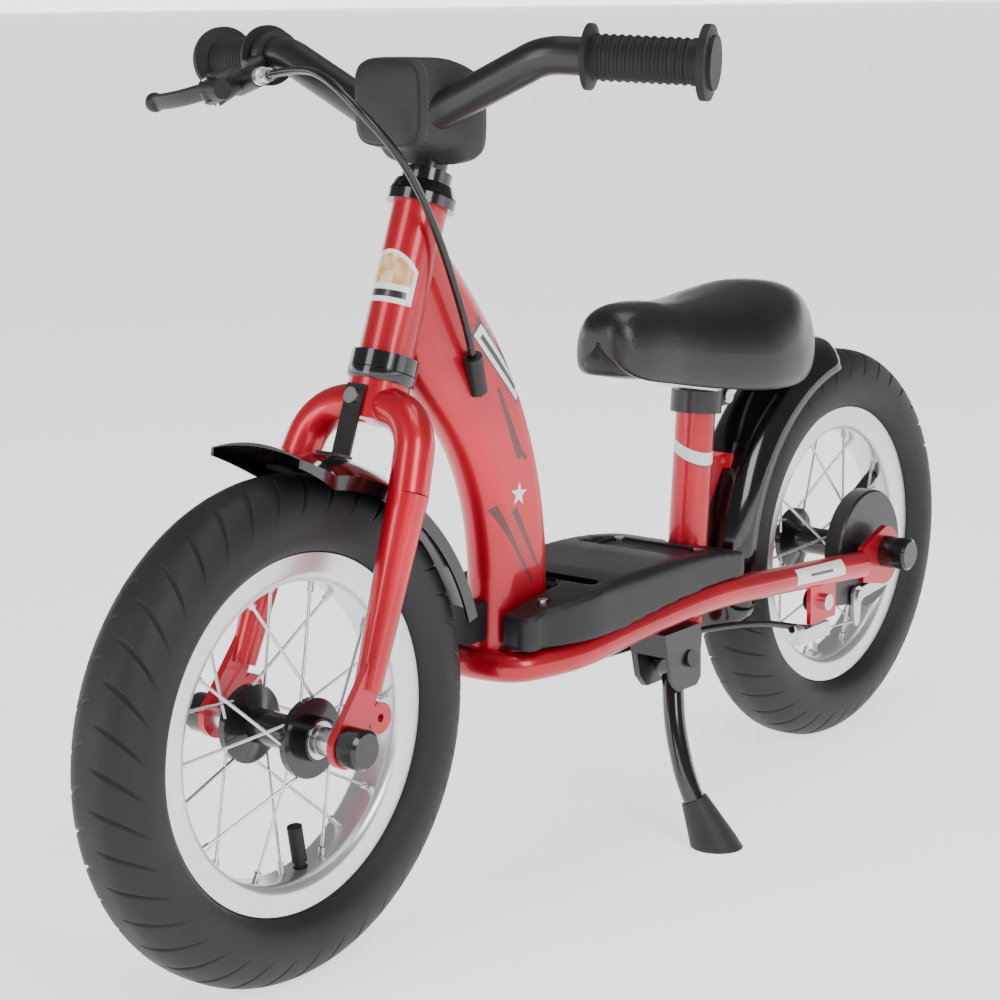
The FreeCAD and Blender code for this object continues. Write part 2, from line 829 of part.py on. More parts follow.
def make_brake_band():
    """Lined band round the drum, open at the bottom where the arm pulls it shut."""
    inner = D["drum_radius"] + 0.8
    outer = inner + 3
    outline = [(inner, 32), (outer, 32), (outer, 39.5), (inner, 39.5)]
    return lathe("brake_band", outline, REAR_AXLE, sweep=325.0, turn=-72.5)


def make_brake_arm():
    """Arm that tightens the band: an eye on the pivot, a foot for the wire and a tail."""
    pivot = BRAKE_PIVOT
    foot = pivot - UP * BRAKE_REACH
    outline = [
        (foot.x + 4, foot.z), (foot.x, foot.z - 4, foot.x - 4, foot.z),
        (pivot.x - 6, pivot.z - 4), (-333, 121), (-338, 126, -333, 130), (pivot.x - 6, pivot.z + 5),
        (pivot.x, pivot.z + 7, pivot.x + 6, pivot.z + 2),
    ]
    blank = plate("arm_blank", outline, 2.5, Vector(0, BRAKE_FACE + 2.8, 0))
    eye = rod("arm_eye", pivot + LATERAL * 40, pivot + LATERAL * 60, 3.06)
    return cut("brake_arm", blank, eye)


def make_brake_bolts():
    """The pin of the brake arm and the bolt in the anchor tab."""
    face = BRAKE_FACE
    pin = join("arm_pin_solid", [
        rod("arm_pin", BRAKE_PIVOT + LATERAL * (face - 3), BRAKE_PIVOT + LATERAL * (face + 5), 3.0),
        rod("arm_pin_head", BRAKE_PIVOT + LATERAL * (face + 4.4), BRAKE_PIVOT + LATERAL * (face + 7), 4.5),
    ])
    bolt = join("anchor_bolt", [
        rod("anchor_shank", ANCHOR + LATERAL * (face - 4), ANCHOR + LATERAL * 58, 3.0),
        rod("anchor_spacer", ANCHOR + LATERAL * face, ANCHOR + LATERAL * 52, 5.0),
        rod("anchor_head", ANCHOR + LATERAL * 55.5, ANCHOR + LATERAL * 60, 6.2),
    ])
    return group("brake_bolts", [pin, bolt])


# ---------------------------------------------------------------- brake cable
CABLE_POINTS = (
    Vector(207, -91, 529),
    Vector(218, -52, 534),
    Vector(234, -16, 529),
    Vector(236, 11, 511),
    Vector(220, 25, 486),
    Vector(199, 25, 459),
    Vector(180, 23, 429),
    Vector(165, 22.5, 396),
    Vector(152, 22, 366),
    Vector(140, 17, 338),
    Vector(121, 5, 305),
    Vector(103, 0, 263),
    Vector(93, 0, 213),
    Vector(88, 2, 167),
    Vector(64, 9, 138),
    Vector(18, 15, 133),
    Vector(-32, 18, 132),
    Vector(-84, 22, 130),
    Vector(-127, 33, 126),
    Vector(-163, 46, 120),
    Vector(-198, 49.5, 112),
    Vector(-231, 49, 106),
)


def cable_path():
    return rounded_path(list(CABLE_POINTS))


def wire_heel():
    """Where the bare wire ends, just short of the brake arm's foot."""
    return BRAKE_PIVOT + Vector(5.6, BRAKE_FACE + 2.8, -BRAKE_REACH)


def make_brake_cable(path):
    """Black cable housing, and the short bare wire that ends at the brake arm."""
    housing = swept_round(path, size("cable_radius"))
    last = CABLE_POINTS[-1]
    way = wire_heel() - last
    wire = Part.makeCylinder(0.8, way.Length, last, way)
    return shaped("brake_cable", Part.makeCompound([housing.fuse(wire)]))


def make_cable_stop(channel):
    """Grommet where the cable enters the down tube."""
    heading = (CABLE_POINTS[9] - CABLE_POINTS[8]).normalize()
    start = CABLE_POINTS[8] + heading * 10
    solid = Part.makeCylinder(6.5, 26, start, heading)
    solid = solid.cut(main_tube_solid(-0.05)).cut(channel)
    largest = max(solid.Solids, key=lambda s: s.Volume)
    return shaped("cable_stop", largest)


def make_cable_clamp(channel):
    """Zinc clamp that holds the housing's end on the brake."""
    body = Part.makeBox(44, 7, 11, Vector(-234, 46.4, 101.5))
    body = body.fuse(Part.makeCylinder(5.0, 9, Vector(-196, 49.5, 112), FORWARD))
    hanger = Part.makeBox(16, 2.4, 30, Vector(-229, 47.5, 107))
    hole = Part.makeCylinder(5.05, 30, ANCHOR + LATERAL * 40, LATERAL)
    wire_way = Part.makeCylinder(1.4, 40, CABLE_POINTS[-1], wire_heel() - CABLE_POINTS[-1])
    return shaped("cable_clamp", body.fuse(hanger).cut(channel).cut(wire_way).cut(hole))


# ---------------------------------------------------------------- fork
BLADE_SHOULDER = 203.0


def blade_points(side):
    """One blade's line: out of the crown, round the shoulder and straight down to its dropout."""
    offset = size("blade_offset") * side
    return [
        on_steering(BLADE_SHOULDER, 3, 8 * side),
        on_steering(196, 5, 0.86 * offset),
        on_steering(150, 7.5, 1.02 * offset),
    ]


def make_fork_blades(steerer):
    """Two tapered blades with their dropouts, joined at the crown."""
    halves = []
    for side in (1, -1):
        points = blade_points(side)
        shoulder = swept_round(rounded_path(points, share=0.62), size("blade_top_radius"))
        top = points[-1]
        end = on_steering(34, 8.5, size("front_dropout_offset") * side - 1.5 * side)
        heading = (end - top).normalize()
        lower = cone_between(top - heading * 1.0, end, size("blade_top_radius"), size("blade_end_radius"))
        offset = size("front_dropout_offset") * side
        eye = Part.makeCylinder(13.5, 5, FRONT_AXLE + LATERAL * (offset - 2.5), LATERAL)
        tab = Part.Face(Part.makePolygon([
            on_steering(52, 1.5, offset - 2.5), on_steering(52, 15.5, offset - 2.5),
            FRONT_AXLE + STEER_FORWARD * 13 + STEER_UP * 2 + LATERAL * (offset - 2.5),
            FRONT_AXLE - STEER_FORWARD * 13 + STEER_UP * 2 + LATERAL * (offset - 2.5),
            on_steering(52, 1.5, offset - 2.5),
        ])).extrude(LATERAL * 5)
        ear = Part.makeCylinder(9.5, 5, on_steering(20, -4, offset - 2.5), LATERAL)
        ear_hole = Part.makeCylinder(2.6, 30, on_steering(20, -4, offset - 15), LATERAL)
        slot = Part.makeCylinder(5.1, 60, FRONT_AXLE + LATERAL * (offset - 30), LATERAL)
        half = shoulder.fuse([lower, eye, tab, ear]).cut(slot).cut(ear_hole)
        halves.append(half)
    crown = Part.makeCylinder(19, CROWN_TOP - CROWN_BOTTOM, on_steering(CROWN_BOTTOM), STEER_UP)
    fork = crown.fuse(halves).cut(steerer)
    flat = Part.makeCylinder(60, 40, on_steering(CROWN_TOP), STEER_UP)
    wheel_room = Part.makeCylinder(167, 68, FRONT_AXLE - LATERAL * 34, LATERAL)
    return shaped("fork_blades", fork.cut(flat).cut(wheel_room))


def make_steerer():
    outer = D["steerer_radius"]
    bore = D["steerer_bore"]
    low = CROWN_BOTTOM + 4
    outline = [(bore, low), (outer, low), (outer, LOCKNUT_TOP), (bore, LOCKNUT_TOP)]
    return lathe("steerer_tube", outline, STEER_BASE, STEER_UP)


def make_headset_cups():
    """Black bearing cups pressed on both ends of the head tube."""
    outer = D["headset_radius"]
    bore = D["steerer_radius"] + 2.3
    lower = [
        (bore, HEAD_BOTTOM), (outer, HEAD_BOTTOM), (outer, LOWER_CUP + 0.6), (outer - 2, LOWER_CUP + 0.6),
        (outer - 2, LOWER_CUP + 7), (bore, LOWER_CUP + 7),
    ]
    upper = [
        (bore, HEAD_TOP), (outer, HEAD_TOP), (outer, UPPER_CUP - 0.6), (outer - 2, UPPER_CUP - 0.6),
        (outer - 2, UPPER_CUP - 4), (bore, UPPER_CUP - 4),
    ]
    cups = [
        lathe("cup_lower", lower, STEER_BASE, STEER_UP),
        lathe("cup_upper", upper, STEER_BASE, STEER_UP),
    ]
    return group("headset_cups", cups)


def make_headset_bearings():
    """Caged balls between the cups and the races."""
    balls = []
    count = 14
    ring = 16.8
    for station in (LOWER_CUP + 3.8, UPPER_CUP - 1.9):
        for number in range(count):
            turn = 2 * math.pi * number / count
            spot = on_steering(station, ring * math.cos(turn), ring * math.sin(turn))
            balls.append(Part.makeSphere(1.6, spot))
    return shaped("headset_bearings", Part.makeCompound(balls))


def make_crown_race():
    """Race on the fork crown and the threaded race on top, both turning with the steerer."""
    outer = D["headset_radius"]
    bore = D["steerer_radius"] + 0.02
    lower = [
        (bore, CROWN_TOP), (outer - 1, CROWN_TOP), (outer, CROWN_TOP + 2), (outer, LOWER_CUP),
        (bore + 1.5, LOWER_CUP), (bore, LOWER_CUP),
    ]
    upper = [(bore, UPPER_CUP), (outer, UPPER_CUP), (outer - 3, LOCKNUT_BOTTOM), (bore, LOCKNUT_BOTTOM)]
    races = [
        lathe("race_lower", lower, STEER_BASE, STEER_UP),
        lathe("race_upper", upper, STEER_BASE, STEER_UP),
    ]
    return group("headset_races", races)


def make_locknut():
    bore = D["steerer_radius"] + 0.02
    outer = D["steerer_radius"] + 2.8
    outline = [(bore, LOCKNUT_BOTTOM), (outer, LOCKNUT_BOTTOM), (outer, LOCKNUT_TOP), (bore, LOCKNUT_TOP)]
    return lathe("headset_locknut", outline, STEER_BASE, STEER_UP)


def make_mudguard_bracket():
    """Strap down the crown's front face to a toe along the front mudguard."""
    face = 19.05
    thick = 1.8
    half = 7.0
    guard = size("guard_radius") + 0.1
    outline = [on_steering(211, face, -half), on_steering(211, face + thick, -half)]
    outline += [on_steering(164, face + thick, -half), on_steering(164, face, -half)]
    strap = Part.Face(Part.makePolygon(outline + outline[:1])).extrude(LATERAL * (2 * half))
    toe_points = []
    for radius, angles in ((guard, (112, 109, 106)), (guard + thick, (106, 109, 112))):
        for angle in angles:
            way = Vector(math.cos(math.radians(angle)), 0, math.sin(math.radians(angle)))
            toe_points.append(FRONT_AXLE + way * radius - LATERAL * half)
    toe = Part.Face(Part.makePolygon(toe_points + toe_points[:1])).extrude(LATERAL * (2 * half))
    room = Part.makeCylinder(guard, 40, FRONT_AXLE - LATERAL * 20, LATERAL)
    return shaped("mudguard_bracket", strap.fuse(toe).cut(room))


def make_crown_bolt():
    """Bolt head that holds the bracket on the crown."""
    face = 20.85
    return rod("crown_bolt", on_steering(203, face), on_steering(203, face + 3.4), 5.0)


# ---------------------------------------------------------------- handlebar
BAR_CENTRE = Vector(184, 0, 505)
GRIP_START = Vector(168, 124.7, 540)
GRIP_END = Vector(141, 195, 536)
GRIP_WAY = (GRIP_END - GRIP_START).normalize()
BAR_POINTS = (
    Vector(184, 22, 505.5),
    GRIP_START - GRIP_WAY * 25.5,
)
STEM_BOTTOM = 290.0
STEM_ELBOW = 374.0


def bar_path():
    """Handlebar centre line: a flat middle, a rise to each side and ends swept back."""
    stop = GRIP_END - GRIP_WAY * 3.2
    left = [BAR_POINTS[0], BAR_POINTS[1], stop]
    right = [Vector(p.x, -p.y, p.z) for p in left]
    return rounded_path(list(reversed(right)) + left, radius=38)


def make_handlebar():
    return shaped("handlebar", swept_tube(bar_path(), size("bar_radius"), size("bar_wall")))


def make_quill_stem(bar):
    """Quill, elbow and bar clamp in one piece."""
    radius = size("stem_radius")
    quill = Part.makeCylinder(radius, STEM_ELBOW - STEM_BOTTOM, on_steering(STEM_BOTTOM), STEER_UP)
    bore = Part.makeCylinder(4.6, STEM_ELBOW - STEM_BOTTOM + 8, on_steering(STEM_BOTTOM), STEER_UP)
    elbow = on_steering(STEM_ELBOW - 6)
    arm = cone_between(elbow, BAR_CENTRE, radius, radius + 1)
    knee = Part.makeSphere(radius, elbow)
    clamp = Part.makeCylinder(16, 34, BAR_CENTRE - LATERAL * 17, LATERAL)
    gap = Part.makeBox(20, 40, 2, BAR_CENTRE + Vector(8, -20, -1))
    solid = quill.fuse([arm, knee, clamp]).cut(bar).cut(bore).cut(gap)
    return shaped("quill_stem", max(solid.Solids, key=lambda s: s.Volume))


def make_stem_bolt():
    """Long expander bolt inside the quill with its wedge nut."""
    shank = rod("expander_shank", on_steering(STEM_BOTTOM - 14), on_steering(STEM_ELBOW + 6), 4.0)
    wedge = rod("expander_wedge", on_steering(STEM_BOTTOM - 18), on_steering(STEM_BOTTOM - 0.5), 10.6)
    return join("stem_bolt", [shank, wedge])


def softened(outline, direction, radius):
    """A prism through an outline of points, its long edges rounded."""
    face = Part.Face(Part.makePolygon(list(outline) + [outline[0]]))
    prism = face.extrude(direction)
    length = direction.Length
    long_edges = [edge for edge in prism.Edges if abs(edge.Length - length) < 0.01]
    return prism.makeFillet(radius, long_edges)


def make_stem_pad(stem, bar_outer):
    """Soft cover round the stem and the middle of the bar, narrower at its back."""
    half = 40
    side = [
        (138, 484), (146, 475), (166, 474), (173, 483), (199, 486), (205, 493), (205, 533), (197, 540.5),
        (170, 540.5), (150, 533), (138, 520),
    ]
    plan = [(205, -20), (190, -31), (172, -37), (152, -37), (138, -27)]
    plan += [(x, -y) for x, y in reversed(plan)]
    profile = softened([Vector(x, -half, z) for x, z in side], LATERAL * (2 * half), 4.0)
    footprint = softened([Vector(x, y, 460) for x, y in plan], UP * 100, 5.0)
    tunnel = Part.makeCylinder(16.8, 36, BAR_CENTRE - LATERAL * 18, LATERAL)
    quill_room = Part.makeCylinder(12.2, 90, on_steering(STEM_ELBOW - 52), STEER_UP)
    arm_room = cone_between(on_steering(STEM_ELBOW - 6), BAR_CENTRE, 12.2, 13.2)
    solid = profile.common(footprint).cut(tunnel).cut(quill_room).cut(arm_room).cut(bar_outer).cut(stem)
    return shaped("stem_pad", max(solid.Solids, key=lambda s: s.Volume))


def make_grip(side, way):
    """Rubber grip: inner flange, ribbed hold, outer safety flange and closed end."""
    axis = (GRIP_END - GRIP_START).normalize()
    start = GRIP_START
    if way < 0:
        axis = Vector(axis.x, -axis.y, axis.z)
        start = Vector(start.x, -start.y, start.z)
    bore = D["bar_radius"] + 0.02
    hold = D["grip_radius"]
    end = D["grip_length"]
    outline = [(bore, 0), (19, 0), (19, 3), (hold, 5)]
    ribs = 12
    pitch = (size("grip_length") - 18) / ribs
    for rib in range(ribs):
        low = 6 + rib * pitch
        outline += [
            (hold, low), (hold - 0.8, low + 0.6), (hold - 0.8, low + pitch - 1.8), (hold, low + pitch - 1.2),
        ]
    outline += [
        (hold, end - 9), (21.5, end - 7.5), (21.5, end - 3), (15.5, end - 2), (15.5, end), (0, end),
        (0, end - 2.6), (bore, end - 2.6),
    ]
    return lathe("grip_" + side, outline, start, axis)


def lever_frame():
    """The lever's own directions: along the grip, from bar to blade, and its pivot axis."""
    along = (GRIP_END - GRIP_START).normalize()
    along = Vector(along.x, -along.y, along.z)
    towards = Vector(0.87, 0, -0.49)
    towards = (towards - along * towards.dot(along)).normalize()
    return along, towards, towards.cross(along).normalize()


LEVER_PIVOT = Vector(221, -124, 520)


def make_lever_perch():
    """Clamp round the bar with the body that carries the lever."""
    along, towards, axis = lever_frame()
    ring_at = Vector(GRIP_START.x, -GRIP_START.y, GRIP_START.z) - along * 13
    ring = Part.makeCylinder(15, 9, ring_at, along)
    hole = Part.makeCylinder(size("bar_radius") + 0.02, 60, ring_at - along * 30, along)
    bolt_lug = Part.makeBox(8, 9, 12, ring_at + Vector(-21, -8, -8))
    neck = cone_between(ring_at + along * 3.5 + towards * 9, LEVER_PIVOT - along * 2, 6.5, 10.5)
    nose = cone_between(LEVER_PIVOT - along * 16, LEVER_PIVOT + along * 2, 6.0, 9.0)
    cable_way = (CABLE_POINTS[1] - CABLE_POINTS[0]).normalize()
    shoulder = cone_between(ring_at + along * 6 + towards * 30, CABLE_POINTS[0] - cable_way * 8, 9.0, 6.2)
    slot = slab_about(LEVER_PIVOT + along * 9, along, towards, axis, (34, 60, 7.4))
    pin = Part.makeCylinder(2.55, 40, LEVER_PIVOT - axis * 20, axis)
    flange = Part.makeCylinder(19.5, 80, ring_at + along * 12.6, along)
    seat = Part.makeCylinder(7, 20, CABLE_POINTS[0] - cable_way * 8, cable_way)
    solid = ring.fuse([neck, nose, shoulder, bolt_lug]).cut([hole, slot, pin, flange, seat])
    return shaped("lever_perch", max(solid.Solids, key=lambda s: s.Volume))


def slab_about(centre, along, towards, axis, sides):
    """A box centred on a point and lined up with the lever's directions."""
    length, width, thick = sides
    corner = centre - along * (length / 2) - towards * (width / 2) - axis * (thick / 2)
    face = Part.Face(Part.makePolygon([
        corner, corner + along * length, corner + along * length + towards * width,
        corner + towards * width, corner,
    ]))
    return face.extrude(axis * thick)


def make_brake_lever():
    """Lever blade: an eye in the perch and a gently curved finger blade with a ball end."""
    along, towards, axis = lever_frame()
    eye = Part.makeCylinder(7.5, 6.6, LEVER_PIVOT - axis * 3.3, axis)
    root = slab_about(LEVER_PIVOT + along * 7, along, towards, axis, (12, 8.4, 6.6))
    points = [
        LEVER_PIVOT + along * 10 + towards * 1,
        LEVER_PIVOT + along * 34 + towards * 7,
        LEVER_PIVOT + along * 54 + towards * 9.5,
        LEVER_PIVOT + along * 71.5 + towards * 10,
    ]
    path = rounded_path(points)
    heading = (points[1] - points[0]).normalize()
    side = axis.cross(heading).normalize()
    oval = Part.Ellipse(points[0] + axis * 5.6, points[0] + side * 3.6, points[0])
    blade = path.makePipeShell([Part.Wire(oval.toShape())], True, False)
    ball = Part.makeSphere(6.4, points[-1])
    pin = Part.makeCylinder(2.56, 40, LEVER_PIVOT - axis * 20, axis)
    return shaped("brake_lever", eye.fuse(root).fuse(blade).fuse(ball).cut(pin))


def make_lever_pin():
    """Pin through the perch's jaws and the lever's eye."""
    axis = lever_frame()[2]
    return rod("lever_pin", LEVER_PIVOT - axis * 9, LEVER_PIVOT + axis * 9, 2.5)


def make_barrel_adjuster(channel):
    """Silver barrel screwed into the perch, where the cable leaves."""
    first = CABLE_POINTS[0]
    heading = (CABLE_POINTS[1] - first).normalize()
    barrel = Part.makeCylinder(4.4, 10, first - heading * 6, heading)
    knurl = Part.makeCylinder(5.6, 5, first - heading * 8, heading)
    bore = Part.makeCylinder(2.9, 30, first - heading * 0.5, heading)
    return shaped("barrel_adjuster", barrel.fuse(knurl).cut(bore))


# ---------------------------------------------------------------- stand
STAND_PIVOT = Vector(-38, 42, 124)
STAND_AXIS = Vector(0, 0.978, 0.2096)
STAND_LEG = (
    Vector(-38, 43.5, 117),
    Vector(-27, 53, 80),
    Vector(-24, 65, 44),
    Vector(-28.5, 78, 14),
)


def make_stand_bracket(rail_outer):
    """Folded steel housing under the left rail, with the pin the leg turns on."""
    outline = [(-8, 150), (-52, 150), (-52, 112), (-47, 107), (-24, 107), (-16, 116)]
    face = Part.Face(Part.makePolygon([Vector(x, 27, z) for x, z in outline + outline[:1]]))
    solid = face.extrude(LATERAL * 31)
    room = Part.makeBox(60, 23.4, 60, Vector(-72, 32, 96))
    sweep_room = Part.makeCylinder(15.5, 23.4, Vector(STAND_PIVOT.x, 32, STAND_PIVOT.z), LATERAL)
    hole = Part.makeCylinder(4.05, 80, STAND_PIVOT - STAND_AXIS * 40, STAND_AXIS)
    cap = Part.makeBox(100, 40, 22, Vector(-70, 20, 142))
    solid = solid.cut(room).cut(sweep_room).fuse(face.extrude(LATERAL * 31).common(cap))
    solid = solid.cut(rail_outer).cut(hole)
    housing = shaped("stand_housing", max(solid.Solids, key=lambda s: s.Volume))
    pin = join("stand_pin", [
        rod("stand_shank", STAND_PIVOT - STAND_AXIS * 17, STAND_PIVOT + STAND_AXIS * 17.5, 4.0),
        rod("stand_head", STAND_PIVOT + STAND_AXIS * 17, STAND_PIVOT + STAND_AXIS * 19, 6.0),
    ])
    return group("stand_bracket", [housing, pin])


def make_stand_leg():
    """Bent leg with its hub on the pivot."""
    path = rounded_path(list(STAND_LEG))
    leg = swept_round(path, size("stand_leg_radius"))
    hub = Part.makeCylinder(11, 15, STAND_PIVOT - STAND_AXIS * 6.5, STAND_AXIS)
    hole = Part.makeCylinder(4.08, 60, STAND_PIVOT - STAND_AXIS * 30, STAND_AXIS)
    return shaped("stand_leg", leg.fuse(hub).cut(hole))


def make_stand_foot(leg):
    """Flared rubber foot, flat where it meets the ground."""
    last = STAND_LEG[-1]
    heading = (last - STAND_LEG[-2]).normalize()
    top = last - heading * 20
    base = last + heading * 14
    upper = cone_between(top, base, 9.3, 16.5)
    extra = cone_between(base, base + heading * 14, 16.5, 18.5)
    ground = Part.makeBox(200, 200, 60, Vector(-130, -20, -60))
    return shaped("stand_foot", upper.fuse(extra).cut(ground).cut(leg))


# ---------------------------------------------------------------- saddle
SADDLE_SECTIONS = (
    # x, half width, top, bottom
    (1, 12, 354, 344),
    (-12, 24, 366, 336),
    (-56, 33, 369, 323),
    (-95, 44, 366, 311),
    (-150, 59, 368, 299),
    (-188, 58, 371, 298),
    (-217, 47, 369, 303),
    (-240, 32, 361, 310),
    (-254, 15, 347, 320),
)


def saddle_wire(x, half, top, bottom):
    """Rounded section of the saddle: flat below, domed above."""
    height = top - bottom
    points = [
        Vector(x, half * 0.82, bottom), Vector(x, half, bottom + height * 0.28),
        Vector(x, half * 0.86, bottom + height * 0.74), Vector(x, half * 0.42, bottom + height * 0.97),
        Vector(x, 0, top), Vector(x, -half * 0.42, bottom + height * 0.97),
        Vector(x, -half * 0.86, bottom + height * 0.74), Vector(x, -half, bottom + height * 0.28),
        Vector(x, -half * 0.82, bottom),
    ]
    curve = Part.BSplineCurve()
    curve.interpolate(points)
    return Part.Wire([curve.toShape(), Part.LineSegment(points[-1], points[0]).toShape()])


SADDLE_HOLLOW = 22.0
BASE_WALL = 3.0


def saddle_hollow(gap, rise, fall):
    """The room under the cushion: a shallow well that follows its lower edge."""
    wires = []
    for x, half, _, bottom in SADDLE_SECTIONS[2:-1]:
        inner = half * 0.7 - gap
        wires.append(Part.makePolygon([
            Vector(x, inner, bottom + rise), Vector(x, inner, bottom + fall),
            Vector(x, -inner, bottom + fall), Vector(x, -inner, bottom + rise),
            Vector(x, inner, bottom + rise),
        ]))
    return Part.makeLoft(wires, True, True)


def make_saddle():
    """Cushion: a closed rounded wedge, hollowed below for its base."""
    solid = Part.makeLoft([saddle_wire(*section) for section in SADDLE_SECTIONS], True, False)
    return shaped("saddle", solid.cut(saddle_hollow(0.0, SADDLE_HOLLOW, -20)))


def make_saddle_base(cushion):
    """Plastic shell that closes the hollow of the cushion from inside."""
    rise = SADDLE_HOLLOW - 0.3
    return shaped("saddle_base", saddle_hollow(0.3, rise, rise - BASE_WALL).cut(cushion))


def rail_line(side):
    """One saddle rail, from its seat at the nose back to its seat under the tail."""
    return rounded_path([
        Vector(-64, 12 * side, 339.4), Vector(-90, 17 * side, 311), Vector(-176, 20 * side, 309.5),
        Vector(-213, 24 * side, 320),
    ], radius=20)


def make_saddle_rails(base):
    rails = [swept_round(rail_line(side), 3.5) for side in (1, -1)]
    return shaped("saddle_rails", Part.makeCompound([rail.cut(base) for rail in rails]))


SADDLE_CLAMP_STATION = 200.0


def make_saddle_clamp():
    """Clamp that grips both rails on top of the post."""
    centre = on_seat(SADDLE_CLAMP_STATION)
    body = Part.makeBox(30, 50, 14.5, centre + Vector(-15, -25, -11))
    post = Part.makeCylinder(size("post_radius") + 0.02, 60, on_seat(150), SEAT_UP)
    rails = [swept_round(rail_line(side), 3.52) for side in (1, -1)]
    solid = body.cut(post)
    for rail in rails:
        solid = solid.cut(rail)
    return shaped("saddle_clamp", max(solid.Solids, key=lambda s: s.Volume))


def make_seat_post():
    outer = D["post_radius"]
    bore = outer - 3
    low = 62.0
    high = SADDLE_CLAMP_STATION + 1
    outline = [(bore, low), (outer, low), (outer, high - 2), (outer - 2, high), (bore, high)]
    return lathe("seat_post", outline, SEAT_BASE, SEAT_UP)


def make_seat_clamp():
    """Split collar on top of the seat tube, its lug to the rear."""
    ring = Part.makeCylinder(18.5, SEAT_COLLAR_TOP - SEAT_COLLAR_BOTTOM, on_seat(SEAT_COLLAR_BOTTOM), SEAT_UP)
    lug_at = on_seat(SEAT_COLLAR_BOTTOM + 1)
    lug = Part.makeBox(13, 18, 13, lug_at + Vector(-30, -9, 1))
    bore = Part.makeCylinder(size("post_radius") + 0.06, 40, on_seat(160), SEAT_UP)
    seat = Part.makeCylinder(size("seat_tube_radius") + 0.02, 30, on_seat(SEAT_TUBE_LENGTH - 30), SEAT_UP)
    slit = Part.makeBox(26, 2, 40, lug_at + Vector(-34, -1, -10))
    hole = Part.makeCylinder(3.1, 60, lug_at + Vector(-24.5, -30, 8), LATERAL)
    return shaped("seat_clamp", ring.fuse(lug).cut(bore).cut(seat).cut(slit).cut(hole))


def make_frame_bolts():
    """Seat clamp bolt, mudguard screw and footboard screws."""
    lug_at = on_seat(SEAT_COLLAR_BOTTOM + 1) + Vector(-24.5, 0, 8)
    clamp = join("clamp_bolt", [
        rod("clamp_shank", lug_at - LATERAL * 10, lug_at + LATERAL * 12, 3.0),
        rod("clamp_head", lug_at + LATERAL * 9.1, lug_at + LATERAL * 13, 5.0),
    ])
    return group("frame_bolts", [clamp] + mudguard_screw() + footboard_screws())


def mudguard_screw():
    centre = Vector(-164, 0, 240)
    return [rod("guard_screw", centre, centre + Vector(-8.5, 0, -5), 3.0)]


def footboard_screws():
    """Four recessed screws in the tray."""
    screws = []
    for number, (x, y) in enumerate(((94, 32), (94, -32), (-84, 34), (-84, -34))):
        screws.append(rod("board_screw_%d" % number, Vector(x, y, 185), Vector(x, y, 193), 3.5))
    return screws


# ---------------------------------------------------------------- the whole bike
def make_all():
    """Every node of the bike, in a list."""
    rail_outer = swept_round(rail_path(), size("rail_radius"))
    seat_outer = Part.makeCylinder(size("seat_tube_radius"), SEAT_TUBE_LENGTH, SEAT_BASE, SEAT_UP)
    bar_outer = swept_round(bar_path(), size("bar_radius") + 0.02)
    cable_line = cable_path()
    channel = swept_round(cable_line, size("cable_radius") + 0.4)
    steerer = Part.makeCylinder(size("steerer_radius"), 200, on_steering(CROWN_BOTTOM + 4), STEER_UP)
    bolts = make_frame_bolts()
    doc.recompute()
    nodes = [
        make_head_tube(),
        make_main_tube(channel, rail_outer),
        make_platform_tube(rail_outer, seat_outer),
        make_seat_tube(),
        make_rear_dropouts(),
        make_frame_tabs(rail_outer, seat_outer, bolts.Shape),
        make_frame_bumper(),
        make_footboard(rail_outer, bolts.Shape),
        make_stand_bracket(rail_outer),
        bolts,
        make_rear_mudguard(bolts.Shape),
        make_headset_cups(),
        make_headset_bearings(),
        make_seat_clamp(),
        make_axle("rear_axle", REAR_AXLE, D["rear_dropout_offset"], 18),
        make_axle_nuts("rear_axle_nuts", REAR_AXLE, D["rear_dropout_offset"], 22),
        make_brake_cover(),
        make_brake_band(),
        make_brake_bolts(),
        make_brake_cable(cable_line),
        make_cable_stop(channel),
        make_cable_clamp(channel),
    ]
    bracket = make_mudguard_bracket()
    nodes += [
        make_steerer(),
        make_fork_blades(steerer),
        make_crown_race(),
        make_locknut(),
        make_axle("front_axle", FRONT_AXLE, D["front_dropout_offset"], 14),
        make_axle_nuts("front_axle_nuts", FRONT_AXLE, D["front_dropout_offset"], 14.3),
        bracket,
        make_crown_bolt(),
        make_front_mudguard(bracket.Shape),
    ]
    stem = make_quill_stem(bar_outer)
    nodes += [
        stem,
        make_stem_bolt(),
        make_handlebar(),
        group("grips", [make_grip("left", 1), make_grip("right", -1)]),
        make_stem_pad(stem.Shape, bar_outer),
        make_lever_perch(),
        make_lever_pin(),
        make_barrel_adjuster(channel),
        make_brake_lever(),
        make_brake_drum(),
        make_brake_arm(),
    ]
    nodes += make_wheel("front", FRONT_AXLE, math.radians(-99))
    nodes += make_wheel("rear", REAR_AXLE, math.radians(153))
    leg = make_stand_leg()
    nodes += [leg, make_stand_foot(leg.Shape)]
    saddle = make_saddle()
    base = make_saddle_base(saddle.Shape)
    rails = make_saddle_rails(base.Shape)
    nodes += [make_seat_post(), saddle, base, rails, make_saddle_clamp()]
    return nodes


def check(nodes):
    """Stop if anything in the document failed or a node holds no good shape."""
    for item in doc.Objects:
        if "Invalid" in item.State or "Error" in item.State:
            raise RuntimeError("%s is %s" % (item.Name, item.State))
    for node in nodes:
        if node.Shape.isNull() or not node.Shape.isValid() or not node.Shape.Solids:
            raise RuntimeError("%s has no valid shape" % node.Label)


